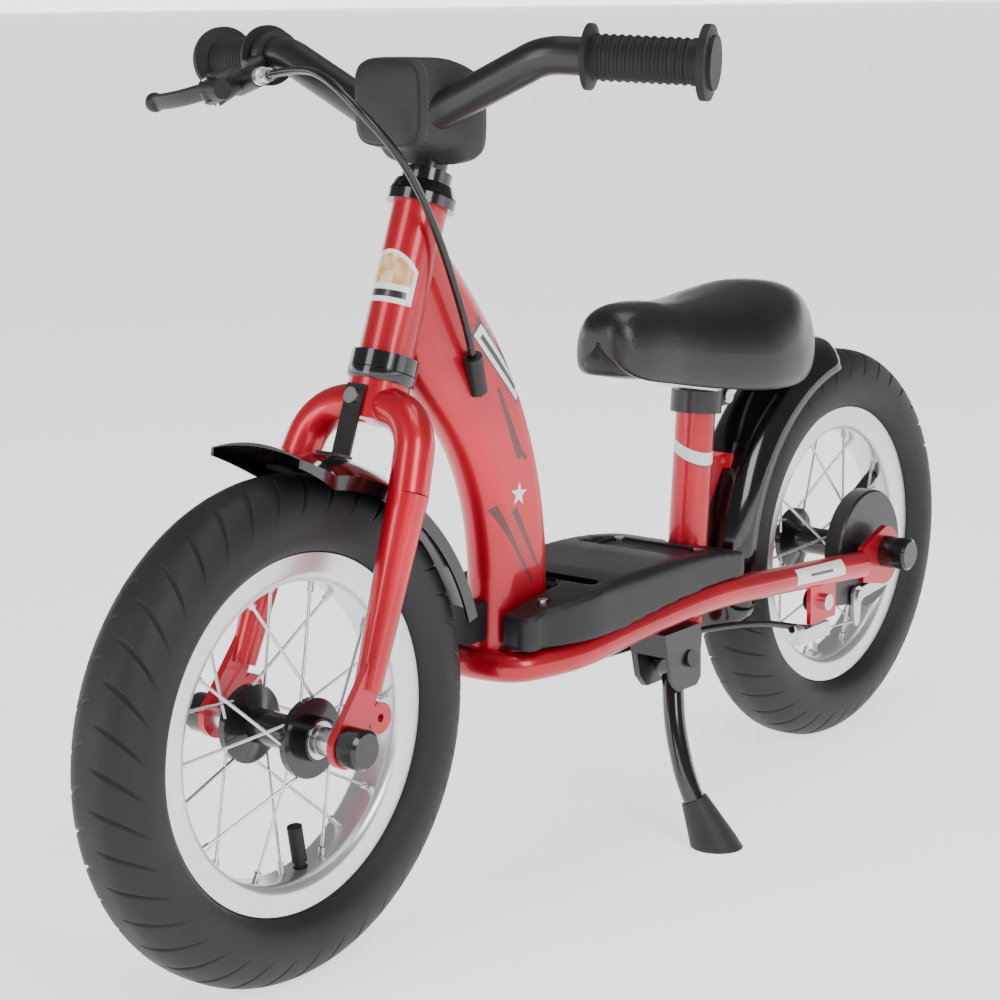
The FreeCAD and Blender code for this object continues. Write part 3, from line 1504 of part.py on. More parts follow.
def main():
    nodes = make_all()
    doc.recompute()
    check(nodes)
    os.makedirs("parts", exist_ok=True)
    for node in nodes:
        node.Shape.exportStep("parts/%s.step" % node.Label)
    radii = ", ".join("%.0f" % radius for radius in bend_radii(list(CABLE_POINTS)))
    housing = swept_round(cable_path(), size("cable_radius"))
    length = cable_path().Length
    print("%d nodes; cable bend radii %s" % (len(nodes), radii))
    print("cable volume over section times length: %.4f"
          % (housing.Volume / (math.pi * size("cable_radius") ** 2 * length)))


main()
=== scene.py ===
import logging
import math
from dataclasses import dataclass, field
from enum import Enum
from typing import Dict, List, Optional, Sequence, Tuple, Union

import bmesh
import bpy
from mathutils import Matrix, Vector


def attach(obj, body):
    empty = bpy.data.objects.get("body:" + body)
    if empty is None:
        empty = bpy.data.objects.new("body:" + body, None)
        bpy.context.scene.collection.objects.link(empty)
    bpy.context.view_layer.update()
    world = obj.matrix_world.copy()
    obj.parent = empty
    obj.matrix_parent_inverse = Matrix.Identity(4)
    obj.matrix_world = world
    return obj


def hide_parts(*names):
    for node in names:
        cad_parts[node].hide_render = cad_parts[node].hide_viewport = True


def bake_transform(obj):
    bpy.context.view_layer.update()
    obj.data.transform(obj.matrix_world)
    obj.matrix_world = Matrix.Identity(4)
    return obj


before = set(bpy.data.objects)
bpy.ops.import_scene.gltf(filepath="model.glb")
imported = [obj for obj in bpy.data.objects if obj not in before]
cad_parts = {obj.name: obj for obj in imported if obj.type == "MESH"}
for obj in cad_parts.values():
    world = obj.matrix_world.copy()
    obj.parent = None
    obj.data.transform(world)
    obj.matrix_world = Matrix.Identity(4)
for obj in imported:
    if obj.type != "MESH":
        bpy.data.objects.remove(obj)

Colour = Tuple[float, float, float]
Point = Tuple[float, float, float]
Section = Tuple[float, float, float, float]
log = logging.getLogger("balance_bike")
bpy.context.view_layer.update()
AXLE_X = 0.308
AXLE_Z = 0.1525
STEERER_FOOT = (0.2906942, 0.1456831)
STEERER_WAY = Vector((-0.3665012, 0.0, 0.9304176))


# ---------------------------------------------------------------- shader language
class Val:
    """A shader socket that adds Math nodes when it is used in an expression."""

    def __init__(self, look: "Look", socket: bpy.types.NodeSocket) -> None:
        """Keep the socket and the look it belongs to."""
        self.look = look
        self.socket = socket

    def math(self, operation: str, *others: Union["Val", float]) -> "Val":
        """A Math node on this value.

        Args:
            operation: Blender's name of the operation.
            others: the second and third operands.

        Returns:
            The node's result.
        """
        operands = dict(enumerate((self, *others)))
        return self.look.node("ShaderNodeMath", {"operation": operation}, operands)

    def swapped(self, operation: str, first: float) -> "Val":
        """The same with a plain number as the first operand."""
        return self.look.node("ShaderNodeMath", {"operation": operation}, {0: first, 1: self})

    def __add__(self, other: Union["Val", float]) -> "Val":
        """Sum."""
        return self.math("ADD", other)

    __radd__ = __add__

    def __sub__(self, other: Union["Val", float]) -> "Val":
        """Difference."""
        return self.math("SUBTRACT", other)

    def __rsub__(self, other: float) -> "Val":
        """Difference from a number."""
        return self.swapped("SUBTRACT", other)

    def __mul__(self, other: Union["Val", float]) -> "Val":
        """Product."""
        return self.math("MULTIPLY", other)

    __rmul__ = __mul__

    def __pow__(self, other: float) -> "Val":
        """Power."""
        return self.math("POWER", other)

    def __abs__(self) -> "Val":
        """Size without sign."""
        return self.math("ABSOLUTE")

    def __or__(self, other: "Val") -> "Val":
        """The larger of two masks."""
        return self.math("MAXIMUM", other)

    def ramp(self, low: float, high: float, start: float = 0.0, end: float = 1.0) -> "Val":
        """A smooth change from start at low to end at high.

        Args:
            low: the value where the change begins.
            high: the value where it ends.
            start: the result at low.
            end: the result at high.

        Returns:
            The eased result.
        """
        sockets = {"Value": self, "From Min": low, "From Max": high, "To Min": start, "To Max": end}
        return self.look.node("ShaderNodeMapRange", {"interpolation_type": "SMOOTHSTEP"}, sockets)

    def under(self, edge: Union["Val", float], soft: float = 0.00025) -> "Val":
        """A crisp mask, 1 where this value is less than the edge."""
        return (edge - self if isinstance(edge, Val) else self.swapped("SUBTRACT", edge)).ramp(-soft, soft)


class Look:
    """One material and the ways to add nodes to it."""

    def __init__(self, name: str) -> None:
        """Start an empty node tree with its Principled shader."""
        self.material = bpy.data.materials.new(name)
        self.material.use_nodes = True
        self.tree = self.material.node_tree
        self.shader = self.tree.nodes["Principled BSDF"]

    def node(
        self,
        kind: str,
        settings: Optional[Dict[str, object]] = None,
        sockets: Optional[Dict[Union[int, str], object]] = None,
        out: Union[int, str] = 0,
    ) -> Val:
        """Add one node.

        Args:
            kind: the node's type.
            settings: its own properties.
            sockets: values or links of its inputs.
            out: the output wanted.

        Returns:
            That output, ready for an expression.
        """
        made = self.tree.nodes.new(kind)
        for key, value in (settings or {}).items():
            setattr(made, key, value)
        for key, value in (sockets or {}).items():
            if isinstance(value, Val):
                self.tree.links.new(value.socket, made.inputs[key])
            else:
                made.inputs[key].default_value = value
        return Val(self, made.outputs[out])

    def place(self) -> Val:
        """Where a point is on the object, in metres."""
        return self.node("ShaderNodeTexCoord", out="Object")

    def axes(self, place: Val) -> Tuple[Val, Val, Val]:
        """The three coordinates of a place."""
        split = self.node("ShaderNodeSeparateXYZ", sockets={0: place})
        outputs = split.socket.node.outputs
        return split, Val(self, outputs[1]), Val(self, outputs[2])

    def from_axle(self, place: Val, axle_x: float) -> Val:
        """Distance from an axle that lies along Y."""
        x, _, z = self.axes(place)
        return ((x - axle_x) * (x - axle_x) + (z - AXLE_Z) * (z - AXLE_Z)) ** 0.5

    def noise(self, place: Val, scale: float, detail: float = 3.0, rough: float = 0.5) -> Val:
        """Noise from 0 to 1, about 0.5."""
        return self.node(
            "ShaderNodeTexNoise", {},
            {"Vector": place, "Scale": scale, "Detail": detail, "Roughness": rough},
        )

    def blend(self, share: Union[Val, float], first: object, second: object) -> Val:
        """A mix of two colours.

        Args:
            share: how much of the second.
            first: a colour or a link.
            second: a colour or a link.

        Returns:
            The mixed colour.
        """
        pair = [c if isinstance(c, Val) else (*c, 1.0) for c in (first, second)]
        settings = {"data_type": "RGBA", "clamp_factor": True}
        return self.node("ShaderNodeMix", settings, {0: share, 6: pair[0], 7: pair[1]}, 2)

    def feed(self, name: str, value: object) -> None:
        """Set or link one socket of the shader."""
        if isinstance(value, Val):
            self.tree.links.new(value.socket, self.shader.inputs[name])
        else:
            self.shader.inputs[name].default_value = value

    def bump(self, height: Val, depth: float) -> None:
        """Give the surface fine relief of that depth in metres."""
        normal = self.node("ShaderNodeBump", {}, {"Strength": 1.0, "Distance": depth, "Height": height})
        self.feed("Normal", normal)


# ---------------------------------------------------------------- finishes
@dataclass(frozen=True)
class Finish:
    """A surface with a broad tint, uneven gloss and a fine grain."""

    name: str
    colour: Colour
    roughness: float = 0.5
    metallic: float = 0.0
    coat: float = 0.0
    grain: float = 900.0
    depth: float = 0.00004
    tint: float = 0.25
    haze: float = 0.08
    shine: float = 0.5

    def base(self, look: Look, place: Val) -> Val:
        """Base colour: the finish's own, lighter and darker in broad soft patches."""
        dark = tuple(c * (1.0 - self.tint) for c in self.colour)
        light = tuple(min(1.0, c * (1.0 + self.tint)) for c in self.colour)
        return look.blend(look.noise(place, 14.0, 4.0).ramp(0.3, 0.7), dark, light)

    def relief(self, look: Look, place: Val) -> Val:
        """Height of the fine grain, from 0 to 1."""
        return look.noise(place, self.grain, 2.0)

    def gloss(self, look: Look, place: Val) -> Val:
        """Roughness: even, with faint smudges and scuffs."""
        smudge = look.noise(place, 38.0, 6.0, 0.65) - 0.5
        return self.roughness + smudge * (2.0 * self.haze)

    def build(self) -> bpy.types.Material:
        """Make the material.

        Returns:
            The finished material.
        """
        look = Look(self.name)
        place = look.place()
        look.feed("Base Color", self.base(look, place))
        look.feed("Roughness", self.gloss(look, place))
        look.feed("Metallic", self.metallic)
        look.feed("Specular IOR Level", self.shine)
        look.feed("Coat Weight", self.coat)
        look.feed("Coat Roughness", 0.06)
        look.bump(self.relief(look, place), self.depth)
        return look.material


@dataclass(frozen=True)
class Leather(Finish):
    """Grained synthetic leather: small pebbles with darker creases."""

    def relief(self, look: Look, place: Val) -> Val:
        """Pebbles from a cell pattern."""
        cells = look.node(
            "ShaderNodeTexVoronoi", {"feature": "SMOOTH_F1"}, {"Vector": place, "Scale": self.grain}
        )
        return 1.0 - cells.ramp(0.0, 0.75)


@dataclass(frozen=True)
class Weave(Finish):
    """Woven nylon: threads over and under each other."""

    def threads(self, look: Look, place: Val) -> Val:
        """Height of the plain weave."""
        x, y, z = look.axes(place)
        pitch = 2.0 * math.pi * self.grain
        along = (y * pitch).math("SINE")
        across = ((z + x * 0.6) * pitch).math("SINE")
        return (along * across + 1.0) * 0.5

    def base(self, look: Look, place: Val) -> Val:
        """Darker between the threads: painted shade in the hollows of the weave."""
        dark = tuple(c * 0.45 for c in self.colour)
        return look.blend(self.threads(look, place), dark, super().base(look, place))

    def relief(self, look: Look, place: Val) -> Val:
        """The weave itself."""
        return self.threads(look, place)


@dataclass(frozen=True)
class Turned(Finish):
    """Metal turned or brushed round an axle along Y."""

    centre: float = 0.0

    def rings(self, look: Look, place: Val) -> Val:
        """Fine rings round the axle."""
        sockets = {"W": look.from_axle(place, self.centre), "Scale": self.grain, "Detail": 2.0}
        return look.node("ShaderNodeTexNoise", {"noise_dimensions": "1D"}, sockets)

    def relief(self, look: Look, place: Val) -> Val:
        """The rings as relief."""
        return self.rings(look, place)

    def gloss(self, look: Look, place: Val) -> Val:
        """Brighter and duller rings with smudges."""
        return super().gloss(look, place) + (self.rings(look, place) - 0.5) * 0.12


@dataclass(frozen=True)
class TyreRubber(Finish):
    """Tyre rubber, dusty in the grooves and smoother on the wall."""

    centre: float = 0.0

    def base(self, look: Look, place: Val) -> Val:
        """A little paler near the crown, where it has met the road."""
        crown = look.from_axle(place, self.centre).ramp(0.15, AXLE_Z)
        worn = crown * look.noise(place, 60.0, 5.0).ramp(0.35, 0.75)
        paler = tuple(c * 1.7 for c in self.colour)
        return look.blend(worn * 0.6, super().base(look, place), paler)


class Marks(Enum):
    """The printed marks that a painted piece may carry."""

    NONE = "none"
    MAIN_TUBE = "main_tube"
    HEAD_BADGE = "head_badge"
    SEAT_BAND = "seat_band"
    STAY_LABEL = "stay_label"


Mark = Tuple[Val, Colour]


def stripe(x: Val, z: Val, start: Tuple[float, float], end: Tuple[float, float],
           half: float, tip: Optional[float] = None) -> Val:
    """Mask of a straight stripe in the bike's side view.

    Args:
        x: forward coordinate.
        z: height.
        start: where the stripe begins.
        end: where it ends.
        half: half its width at the start, in metres.
        tip: half its width at the end.

    Returns:
        The mask.
    """
    length = math.dist(start, end)
    way = ((end[0] - start[0]) / length, (end[1] - start[1]) / length)
    along = (x - start[0]) * way[0] + (z - start[1]) * way[1]
    across = abs((x - start[0]) * way[1] - (z - start[1]) * way[0])
    slope = ((half if tip is None else tip) - half) / length
    return across.under(along * slope + half) * along.under(length) * (0.0 - along).under(0.0)


def star(x: Val, z: Val, centre: Tuple[float, float], radius: float, turn: float) -> Val:
    """Mask of a five-pointed star in the side view.

    Args:
        x: forward coordinate.
        z: height.
        centre: the star's middle.
        radius: distance to its points.
        turn: angle of the first point.

    Returns:
        The mask.
    """
    u = x - centre[0]
    v = z - centre[1]
    angle = v.math("ARCTAN2", u) - turn
    sector = math.pi / 5
    folded = abs(angle.math("WRAP", sector, -sector))
    away = (u * u + v * v) ** 0.5
    edge = away * folded.math("COSINE") * 0.3283 + away * folded.math("SINE") * 0.9446
    return edge.under(0.3283 * radius)


@dataclass(frozen=True)
class RedPaint(Finish):
    """Deep red metallic paint under clear lacquer, with printed marks."""

    marks: Marks = Marks.NONE

    def base(self, look: Look, place: Val) -> Val:
        """Red that sparkles a little."""
        flakes = look.noise(place, 2600.0, 1.0).ramp(0.45, 0.8)
        deep = tuple(c * 0.62 for c in self.colour)
        bright = tuple(min(1.0, c * 1.35) for c in self.colour)
        ground = look.blend(look.noise(place, 9.0, 3.0).ramp(0.3, 0.7), deep, self.colour)
        return look.blend(flakes * 0.35, ground, bright)

    def printed(self, look: Look, place: Val) -> List[Mark]:
        """The marks, each a mask and a colour.

        Args:
            look: the material being made.
            place: object coordinates.

        Returns:
            Masks and colours, the lowest first.
        """
        x, y, z = look.axes(place)
        white, black, grey = (0.82, 0.82, 0.8), (0.015, 0.015, 0.017), (0.085, 0.004, 0.008)
        if self.marks is Marks.MAIN_TUBE:
            side = abs(y).ramp(0.006, 0.0075)
            plate = stripe(x, z, (0.1385, 0.3735), (0.0945, 0.3245), 0.0062)
            field_ = stripe(x, z, (0.1373, 0.372), (0.0957, 0.3258), 0.0049)
            line = stripe(x, z, (0.1335, 0.3678), (0.0995, 0.3301), 0.0017)
            swoosh = stripe(x, z, (0.121, 0.256), (0.085, 0.201), 0.0028, 0.001)
            second = stripe(x, z, (0.103, 0.252), (0.079, 0.21), 0.003, 0.001)
            third = stripe(x, z, (0.118, 0.333), (0.096, 0.285), 0.0016, 0.0034)
            fourth = stripe(x, z, (0.106, 0.299), (0.09, 0.283), 0.0009, 0.0018)
            shape = star(x, z, (0.098, 0.2612), 0.0082, math.radians(96))
            dark = swoosh | second | third | fourth
            cloud = look.noise(place, 90.0, 5.0, 0.7).ramp(0.5, 0.56) * z.ramp(0.335, 0.375) * \
                x.under(0.15, 0.012)
            return [(cloud * side * 0.8, black), (dark * side, grey), (plate * side, black),
                    (field_ * side, white), (line * side, black), (shape * side, white)]
        if self.marks is Marks.HEAD_BADGE:
            px, pz = x - STEERER_FOOT[0], z - STEERER_FOOT[1]
            station = px * STEERER_WAY.x + pz * STEERER_WAY.z
            forward = px * STEERER_WAY.z + pz * -STEERER_WAY.x
            angle = abs(y.math("ARCTAN2", forward))
            top = 0.2955 - angle * angle * 0.0075
            body = station.under(top) * (0.0 - station).under(-0.263) * angle.under(1.2, 0.012)
            dome = station.under(0.293 - angle * angle * 0.0085) * (0.0 - station).under(-0.2745)
            # Painted highlight: a paler, blotchy patch on the middle of the badge's dome, fading towards its
            # sides.
            dome_painted_highlight = look.noise(place, 120.0, 2.0).ramp(0.35, 0.65)
            line = abs(station - 0.2685).under(0.0022) * angle.under(0.95, 0.012)
            return [(body, white), (body * dome * angle.under(1.05, 0.012), (0.62, 0.3, 0.09)),
                    (body * dome * dome_painted_highlight * angle.under(0.6, 0.3), (0.8, 0.62, 0.38)),
                    (body * line, black)]
        if self.marks is Marks.SEAT_BAND:
            height = z + y * 0.42
            band = height.under(0.259) * (0.0 - height).under(-0.25)
            edge = abs(height - 0.2545).under(0.0052) * (1.0 - band)
            return [(edge, grey), (band, white)]
        if self.marks is Marks.STAY_LABEL:
            outer = abs(y).ramp(0.0555, 0.057)
            label = stripe(x, z, (-0.17, 0.159), (-0.236, 0.1545), 0.0056)
            line = stripe(x, z, (-0.188, 0.1578), (-0.219, 0.1556), 0.0011)
            return [(label * outer, white), (line * outer, black)]
        return []

    def build(self) -> bpy.types.Material:
        """Make the paint with its marks.

        Returns:
            The finished material.
        """
        look = Look(self.name)
        place = look.place()
        colour = self.base(look, place)
        metal: Union[Val, float] = self.metallic
        for mask, tone in self.printed(look, place):
            colour = look.blend(mask, colour, tone)
            metal = (1.0 - mask) * metal
        look.feed("Base Color", colour)
        look.feed("Metallic", metal)
        look.feed("Roughness", self.gloss(look, place))
        look.feed("Coat Weight", self.coat)
        look.feed("Coat Roughness", 0.05)
        look.bump(look.noise(place, 260.0, 2.0), self.depth)
        return look.material


RED: Dict[str, object] = dict(
    colour=(0.62, 0.002, 0.022), roughness=0.36, metallic=0.5, coat=0.55, depth=0.000012, haze=0.05,
)


@dataclass(frozen=True)
class Palette:
    """Every finish of the bike, by its use."""

    red: Finish = RedPaint("red_lacquer", **RED)
    red_main: Finish = RedPaint("red_main_tube", marks=Marks.MAIN_TUBE, **RED)
    red_head: Finish = RedPaint("red_head_tube", marks=Marks.HEAD_BADGE, **RED)
    red_seat: Finish = RedPaint("red_seat_tube", marks=Marks.SEAT_BAND, **RED)
    red_rails: Finish = RedPaint("red_rails", marks=Marks.STAY_LABEL, **RED)
    satin_black: Finish = Finish("satin_black_paint", (0.006, 0.006, 0.007), 0.38, 0.0, 0.15, 500.0, 0.00003)
    gloss_black: Finish = Finish("gloss_black_paint", (0.004, 0.004, 0.005), 0.16, 0.0, 0.5, 300.0, 0.00001)
    guard_black: Finish = Finish("mudguard_plastic", (0.004, 0.004, 0.005), 0.14, 0.0, 0.3, 70.0, 0.0001)
    moulded: Finish = Finish("moulded_plastic", (0.009, 0.009, 0.01), 0.44, 0.0, 0.0, 1400.0, 0.00006,
                             shine=0.4)
    board: Finish = Finish("board_plastic", (0.009, 0.009, 0.01), 0.46, 0.0, 0.0, 1100.0, 0.00012,
                           shine=0.4)
    grip: Finish = Finish("grip_rubber", (0.007, 0.007, 0.008), 0.6, 0.0, 0.0, 1600.0, 0.0001, shine=0.35)
    foot: Finish = Finish("foot_rubber", (0.02, 0.02, 0.022), 0.55, 0.0, 0.0, 900.0, 0.00008, shine=0.4)
    cable: Finish = Finish("cable_jacket", (0.005, 0.005, 0.006), 0.26, 0.0, 0.1, 700.0, 0.00001)
    front_tyre: Finish = TyreRubber("front_tyre_rubber", (0.012, 0.012, 0.014), 0.58, shine=0.35,
                                    centre=AXLE_X)
    rear_tyre: Finish = TyreRubber("rear_tyre_rubber", (0.012, 0.012, 0.014), 0.58, shine=0.35,
                                    centre=-AXLE_X)
    front_alloy: Finish = Turned("front_rim_alloy", (0.74, 0.75, 0.77), 0.3, 0.9, 0.0, 1500.0, 0.00001,
                                 0.04, centre=AXLE_X)
    rear_alloy: Finish = Turned("rear_rim_alloy", (0.74, 0.75, 0.77), 0.3, 0.9, 0.0, 1500.0, 0.00001,
                                0.04, centre=-AXLE_X)
    hub: Finish = Finish("hub_black", (0.006, 0.006, 0.007), 0.24, 0.3, 0.5, 400.0, 0.00001)
    steel: Finish = Finish("zinc_steel", (0.62, 0.62, 0.63), 0.26, 1.0, 0.0, 800.0, 0.00001, 0.08)
    zinc: Finish = Finish("cast_zinc", (0.66, 0.68, 0.7), 0.34, 0.9, 0.0, 600.0, 0.00004, 0.08)
    leather: Finish = Leather("saddle_leather", (0.007, 0.007, 0.008), 0.34, 0.0, 0.1, 900.0, 0.0001)
    weave: Finish = Weave("pad_nylon", (0.016, 0.016, 0.018), 0.62, 0.0, 0.0, 620.0, 0.00012)
    binding: Finish = Weave("pad_binding", (0.008, 0.008, 0.009), 0.7, 0.0, 0.0, 900.0, 0.0001)
    thread: Finish = Finish("pad_thread", (0.06, 0.06, 0.065), 0.6, 0.0, 0.0, 3000.0, 0.00003)


# ---------------------------------------------------------------- meshes
def linked(name: str, data: bpy.types.ID) -> bpy.types.Object:
    """A new object in the scene that shows a mesh, a curve, a lamp or a camera."""
    made = bpy.data.objects.new(name, data)
    bpy.context.scene.collection.objects.link(made)
    return made


def spline_through(points: Sequence[Sequence[float]], steps: int, closed: bool = False) -> List[Vector]:
    """Points on a smooth curve through the given ones.

    Args:
        points: the points to pass through.
        steps: how many parts each span is divided into.
        closed: whether the curve returns to its start.

    Returns:
        The curve's points.
    """
    knots = [Vector(p) for p in points]
    count = len(knots)
    result: List[Vector] = []
    for index in range(count if closed else count - 1):
        around = [index - 1, index, index + 1, index + 2]
        ids = [i % count for i in around] if closed else [min(max(i, 0), count - 1) for i in around]
        a, b, c, d = (knots[i] for i in ids)
        for step in range(steps):
            t = step / steps
            result.append(0.5 * (2 * b + (c - a) * t + (2 * a - 5 * b + 4 * c - d) * t ** 2
                                 + (3 * b - a - 3 * c + d) * t ** 3))
    if not closed:
        result.append(knots[-1])
    return result


def between(sections: Sequence[Section], steps: int) -> List[Section]:
    """Sections along X with smooth ones laid between them.

    Args:
        sections: place, half width, top and bottom of each.
        steps: how many parts each span is divided into.

    Returns:
        All the sections.
    """
    widths = spline_through([(x, half, 0.0) for x, half, _, _ in sections], steps)
    heights = spline_through([(x, top, bottom) for x, _, top, bottom in sections], steps)
    return [(a.x, a.y, b.y, b.z) for a, b in zip(widths, heights)]


def solid(name: str, points: Sequence[Sequence[float]], faces: Sequence[Sequence[int]]) -> bpy.types.Object:
    """A mesh object with smooth faces.

    Args:
        name: the object's name.
        points: its vertices, in metres.
        faces: its faces.

    Returns:
        The linked object.
    """
    mesh = bpy.data.meshes.new(name)
    mesh.from_pydata([tuple(p) for p in points], [], [tuple(f) for f in faces])
    mesh.validate()
    mesh.shade_smooth()
    return linked(name, mesh)


def loft(name: str, rings: Sequence[Sequence[Vector]]) -> bpy.types.Object:
    """A closed skin over rings of equal length, with its ends filled.

    Args:
        name: the object's name.
        rings: the rings, in order.

    Returns:
        The linked object.
    """
    size = len(rings[0])
    points = [p for ring in rings for p in ring]
    faces: List[Tuple[int, ...]] = []
    for row in range(len(rings) - 1):
        for k in range(size):
            a, b = row * size + k, row * size + (k + 1) % size
            faces.append((a, b, b + size, a + size))
    for row, flip in ((0, True), (len(rings) - 1, False)):
        middle = len(points)
        ring = rings[row]
        points.append(sum(ring, Vector()) / size)
        for k in range(size):
            a, b = row * size + k, row * size + (k + 1) % size
            faces.append((b, a, middle) if flip else (a, b, middle))
    made = solid(name, points, faces)
    outward(made)
    return made


def rounded_ends(rings: Sequence[List[Vector]], caps: Sequence[Tuple[float, float]], first: float,
                 last: float) -> List[List[Vector]]:
    """Rings along X with smaller ones added beyond both ends, so that the skin closes softly.

    Args:
        rings: the rings, in order.
        caps: size of each added ring and its share of the push.
        first: how far the start is pushed out along X, in metres.
        last: how far the end is.

    Returns:
        All the rings.
    """
    added: List[List[List[Vector]]] = []
    for ring, push in ((rings[0], first), (rings[-1], last)):
        middle = sum(ring, Vector()) / len(ring)
        added.append([])
        for size, share in caps:
            ahead = Vector((push * share, 0, 0))
            added[-1].append([middle + (p - middle) * size + ahead for p in ring])
    return list(reversed(added[0])) + list(rings) + added[1]


def outward(made: bpy.types.Object) -> None:
    """Point every face of a closed mesh outwards."""
    work = bmesh.new()
    work.from_mesh(made.data)
    bmesh.ops.recalc_face_normals(work, faces=work.faces)
    if work.calc_volume(signed=True) < 0:
        bmesh.ops.reverse_faces(work, faces=work.faces)
    work.to_mesh(made.data)
    work.free()


def as_mesh(source: bpy.types.Object, name: str) -> bpy.types.Object:
    """Turn a curve, or a mesh with modifiers, into a plain mesh object.

    Args:
        source: the object to convert; it is removed.
        name: the new object's name.

    Returns:
        The plain mesh object.
    """
    bpy.context.view_layer.update()
    ready = source.evaluated_get(bpy.context.evaluated_depsgraph_get())
    mesh = bpy.data.meshes.new_from_object(ready)
    bpy.data.objects.remove(source)
    mesh.name = name
    mesh.shade_smooth()
    return linked(name, mesh)


def cord_line(name: str, points: Sequence[Point], radius: float, closed: bool = False) -> bpy.types.Object:
    """A smooth NURBS line with a round section.

    Args:
        name: the object's name.
        points: control points, in metres.
        radius: radius of its section; 0 leaves a bare line.
        closed: whether the line returns to its start.

    Returns:
        The curve object.
    """
    curve = bpy.data.curves.new(name, "CURVE")
    curve.dimensions = "3D"
    line = curve.splines.new("NURBS")
    line.points.add(len(points) - 1)
    for knot, place in zip(line.points, points):
        knot.co = (*place, 1.0)
    line.order_u = 3
    line.use_endpoint_u = not closed
    line.use_cyclic_u = closed
    line.resolution_u = 10
    curve.bevel_depth = radius
    curve.bevel_resolution = 5
    curve.use_fill_caps = not closed
    return linked(name, curve)


def dress(piece: bpy.types.Object, finish: bpy.types.Material, body: str, slot: str,
          *nodes: str) -> bpy.types.Object:
    """Give a piece its material and its body.

    Args:
        piece: the finished object.
        finish: its material.
        body: the body it moves with; empty leaves it unattached.
        slot: the record's material slot; not used.
        nodes: the CAD nodes it stands for.

    Returns:
        The same object.
    """
    piece.data.materials.clear()
    piece.data.materials.append(finish)
    if body:
        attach(piece, body)
    if nodes:
        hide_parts(*nodes)
    log.info("%s: %d faces", piece.name, len(piece.data.polygons))
    return piece


# ---------------------------------------------------------------- geometry node trees
class Recipe:
    """A Geometry Nodes tree being written."""

    def __init__(self, name: str, inputs: Dict[str, str]) -> None:
        """Start the tree.

        Args:
            name: its name.
            inputs: name and socket type of each input.
        """
        self.tree = bpy.data.node_groups.new(name, "GeometryNodeTree")
        for key, kind in {"Geometry": "NodeSocketGeometry", **inputs}.items():
            self.tree.interface.new_socket(key, in_out="INPUT", socket_type=kind)
        self.tree.interface.new_socket("Geometry", in_out="OUTPUT", socket_type="NodeSocketGeometry")
        self.given = self.tree.nodes.new("NodeGroupInput").outputs
        self.result = self.tree.nodes.new("NodeGroupOutput").inputs[0]

    def step(self, kind: str, settings: Optional[Dict[str, object]] = None,
             sockets: Optional[Dict[Union[int, str], object]] = None) -> bpy.types.NodeOutputs:
        """Add one node.

        Args:
            kind: the node's type.
            settings: its own properties.
            sockets: values or links of its inputs.

        Returns:
            The node's outputs.
        """
        made = self.tree.nodes.new(kind)
        for key, value in (settings or {}).items():
            setattr(made, key, value)
        for key, value in (sockets or {}).items():
            if isinstance(value, bpy.types.NodeSocket):
                self.tree.links.new(value, made.inputs[key])
            else:
                made.inputs[key].default_value = value
        return made.outputs

    def finish(self, geometry: bpy.types.NodeSocket) -> bpy.types.NodeTree:
        """Link the result and return the tree."""
        self.tree.links.new(geometry, self.result)
        return self.tree

    @staticmethod
    def run(tree: bpy.types.NodeTree, name: str, **values: object) -> bpy.types.Object:
        """Run a tree on an empty mesh.

        Args:
            tree: the tree.
            name: name of the object it makes.
            values: the tree's inputs by name.

        Returns:
            The plain mesh object.
        """
        host = linked(name + "_host", bpy.data.meshes.new(name + "_host"))
        modifier = host.modifiers.new("build", "NODES")
        modifier.node_group = tree
        for item in tree.interface.items_tree:
            if item.in_out == "INPUT" and item.name in values:
                modifier[item.identifier] = values[item.name]
        return as_mesh(host, name)


def ring_tree() -> bpy.types.NodeTree:
    """A tree that repeats a segment round an axle along Y and welds the joins."""
    recipe = Recipe("turn_round_axle", {
        "Segment": "NodeSocketObject", "Count": "NodeSocketInt", "Centre": "NodeSocketVector",
        "Finish": "NodeSocketMaterial",
    })
    given = recipe.given
    points = recipe.step("GeometryNodePoints", {}, {"Count": given["Count"], "Position": given["Centre"]})
    index = recipe.step("GeometryNodeInputIndex")
    share = recipe.step("ShaderNodeMath", {"operation": "DIVIDE"}, {0: index[0], 1: given["Count"]})
    angle = recipe.step("ShaderNodeMath", {"operation": "MULTIPLY"}, {0: share[0], 1: 2.0 * math.pi})
    turn = recipe.step("ShaderNodeCombineXYZ", {}, {"Y": angle[0]})
    item = recipe.step("GeometryNodeObjectInfo", {}, {"Object": given["Segment"]})
    copies = recipe.step("GeometryNodeInstanceOnPoints", {},
                         {"Points": points[0], "Instance": item["Geometry"], "Rotation": turn[0]})
    real = recipe.step("GeometryNodeRealizeInstances", {}, {0: copies[0]})
    joined = recipe.step("GeometryNodeMergeByDistance", {}, {"Geometry": real[0], "Distance": 0.00002})
    done = recipe.step("GeometryNodeSetMaterial", {}, {"Geometry": joined[0], "Material": given["Finish"]})
    return recipe.finish(done[0])


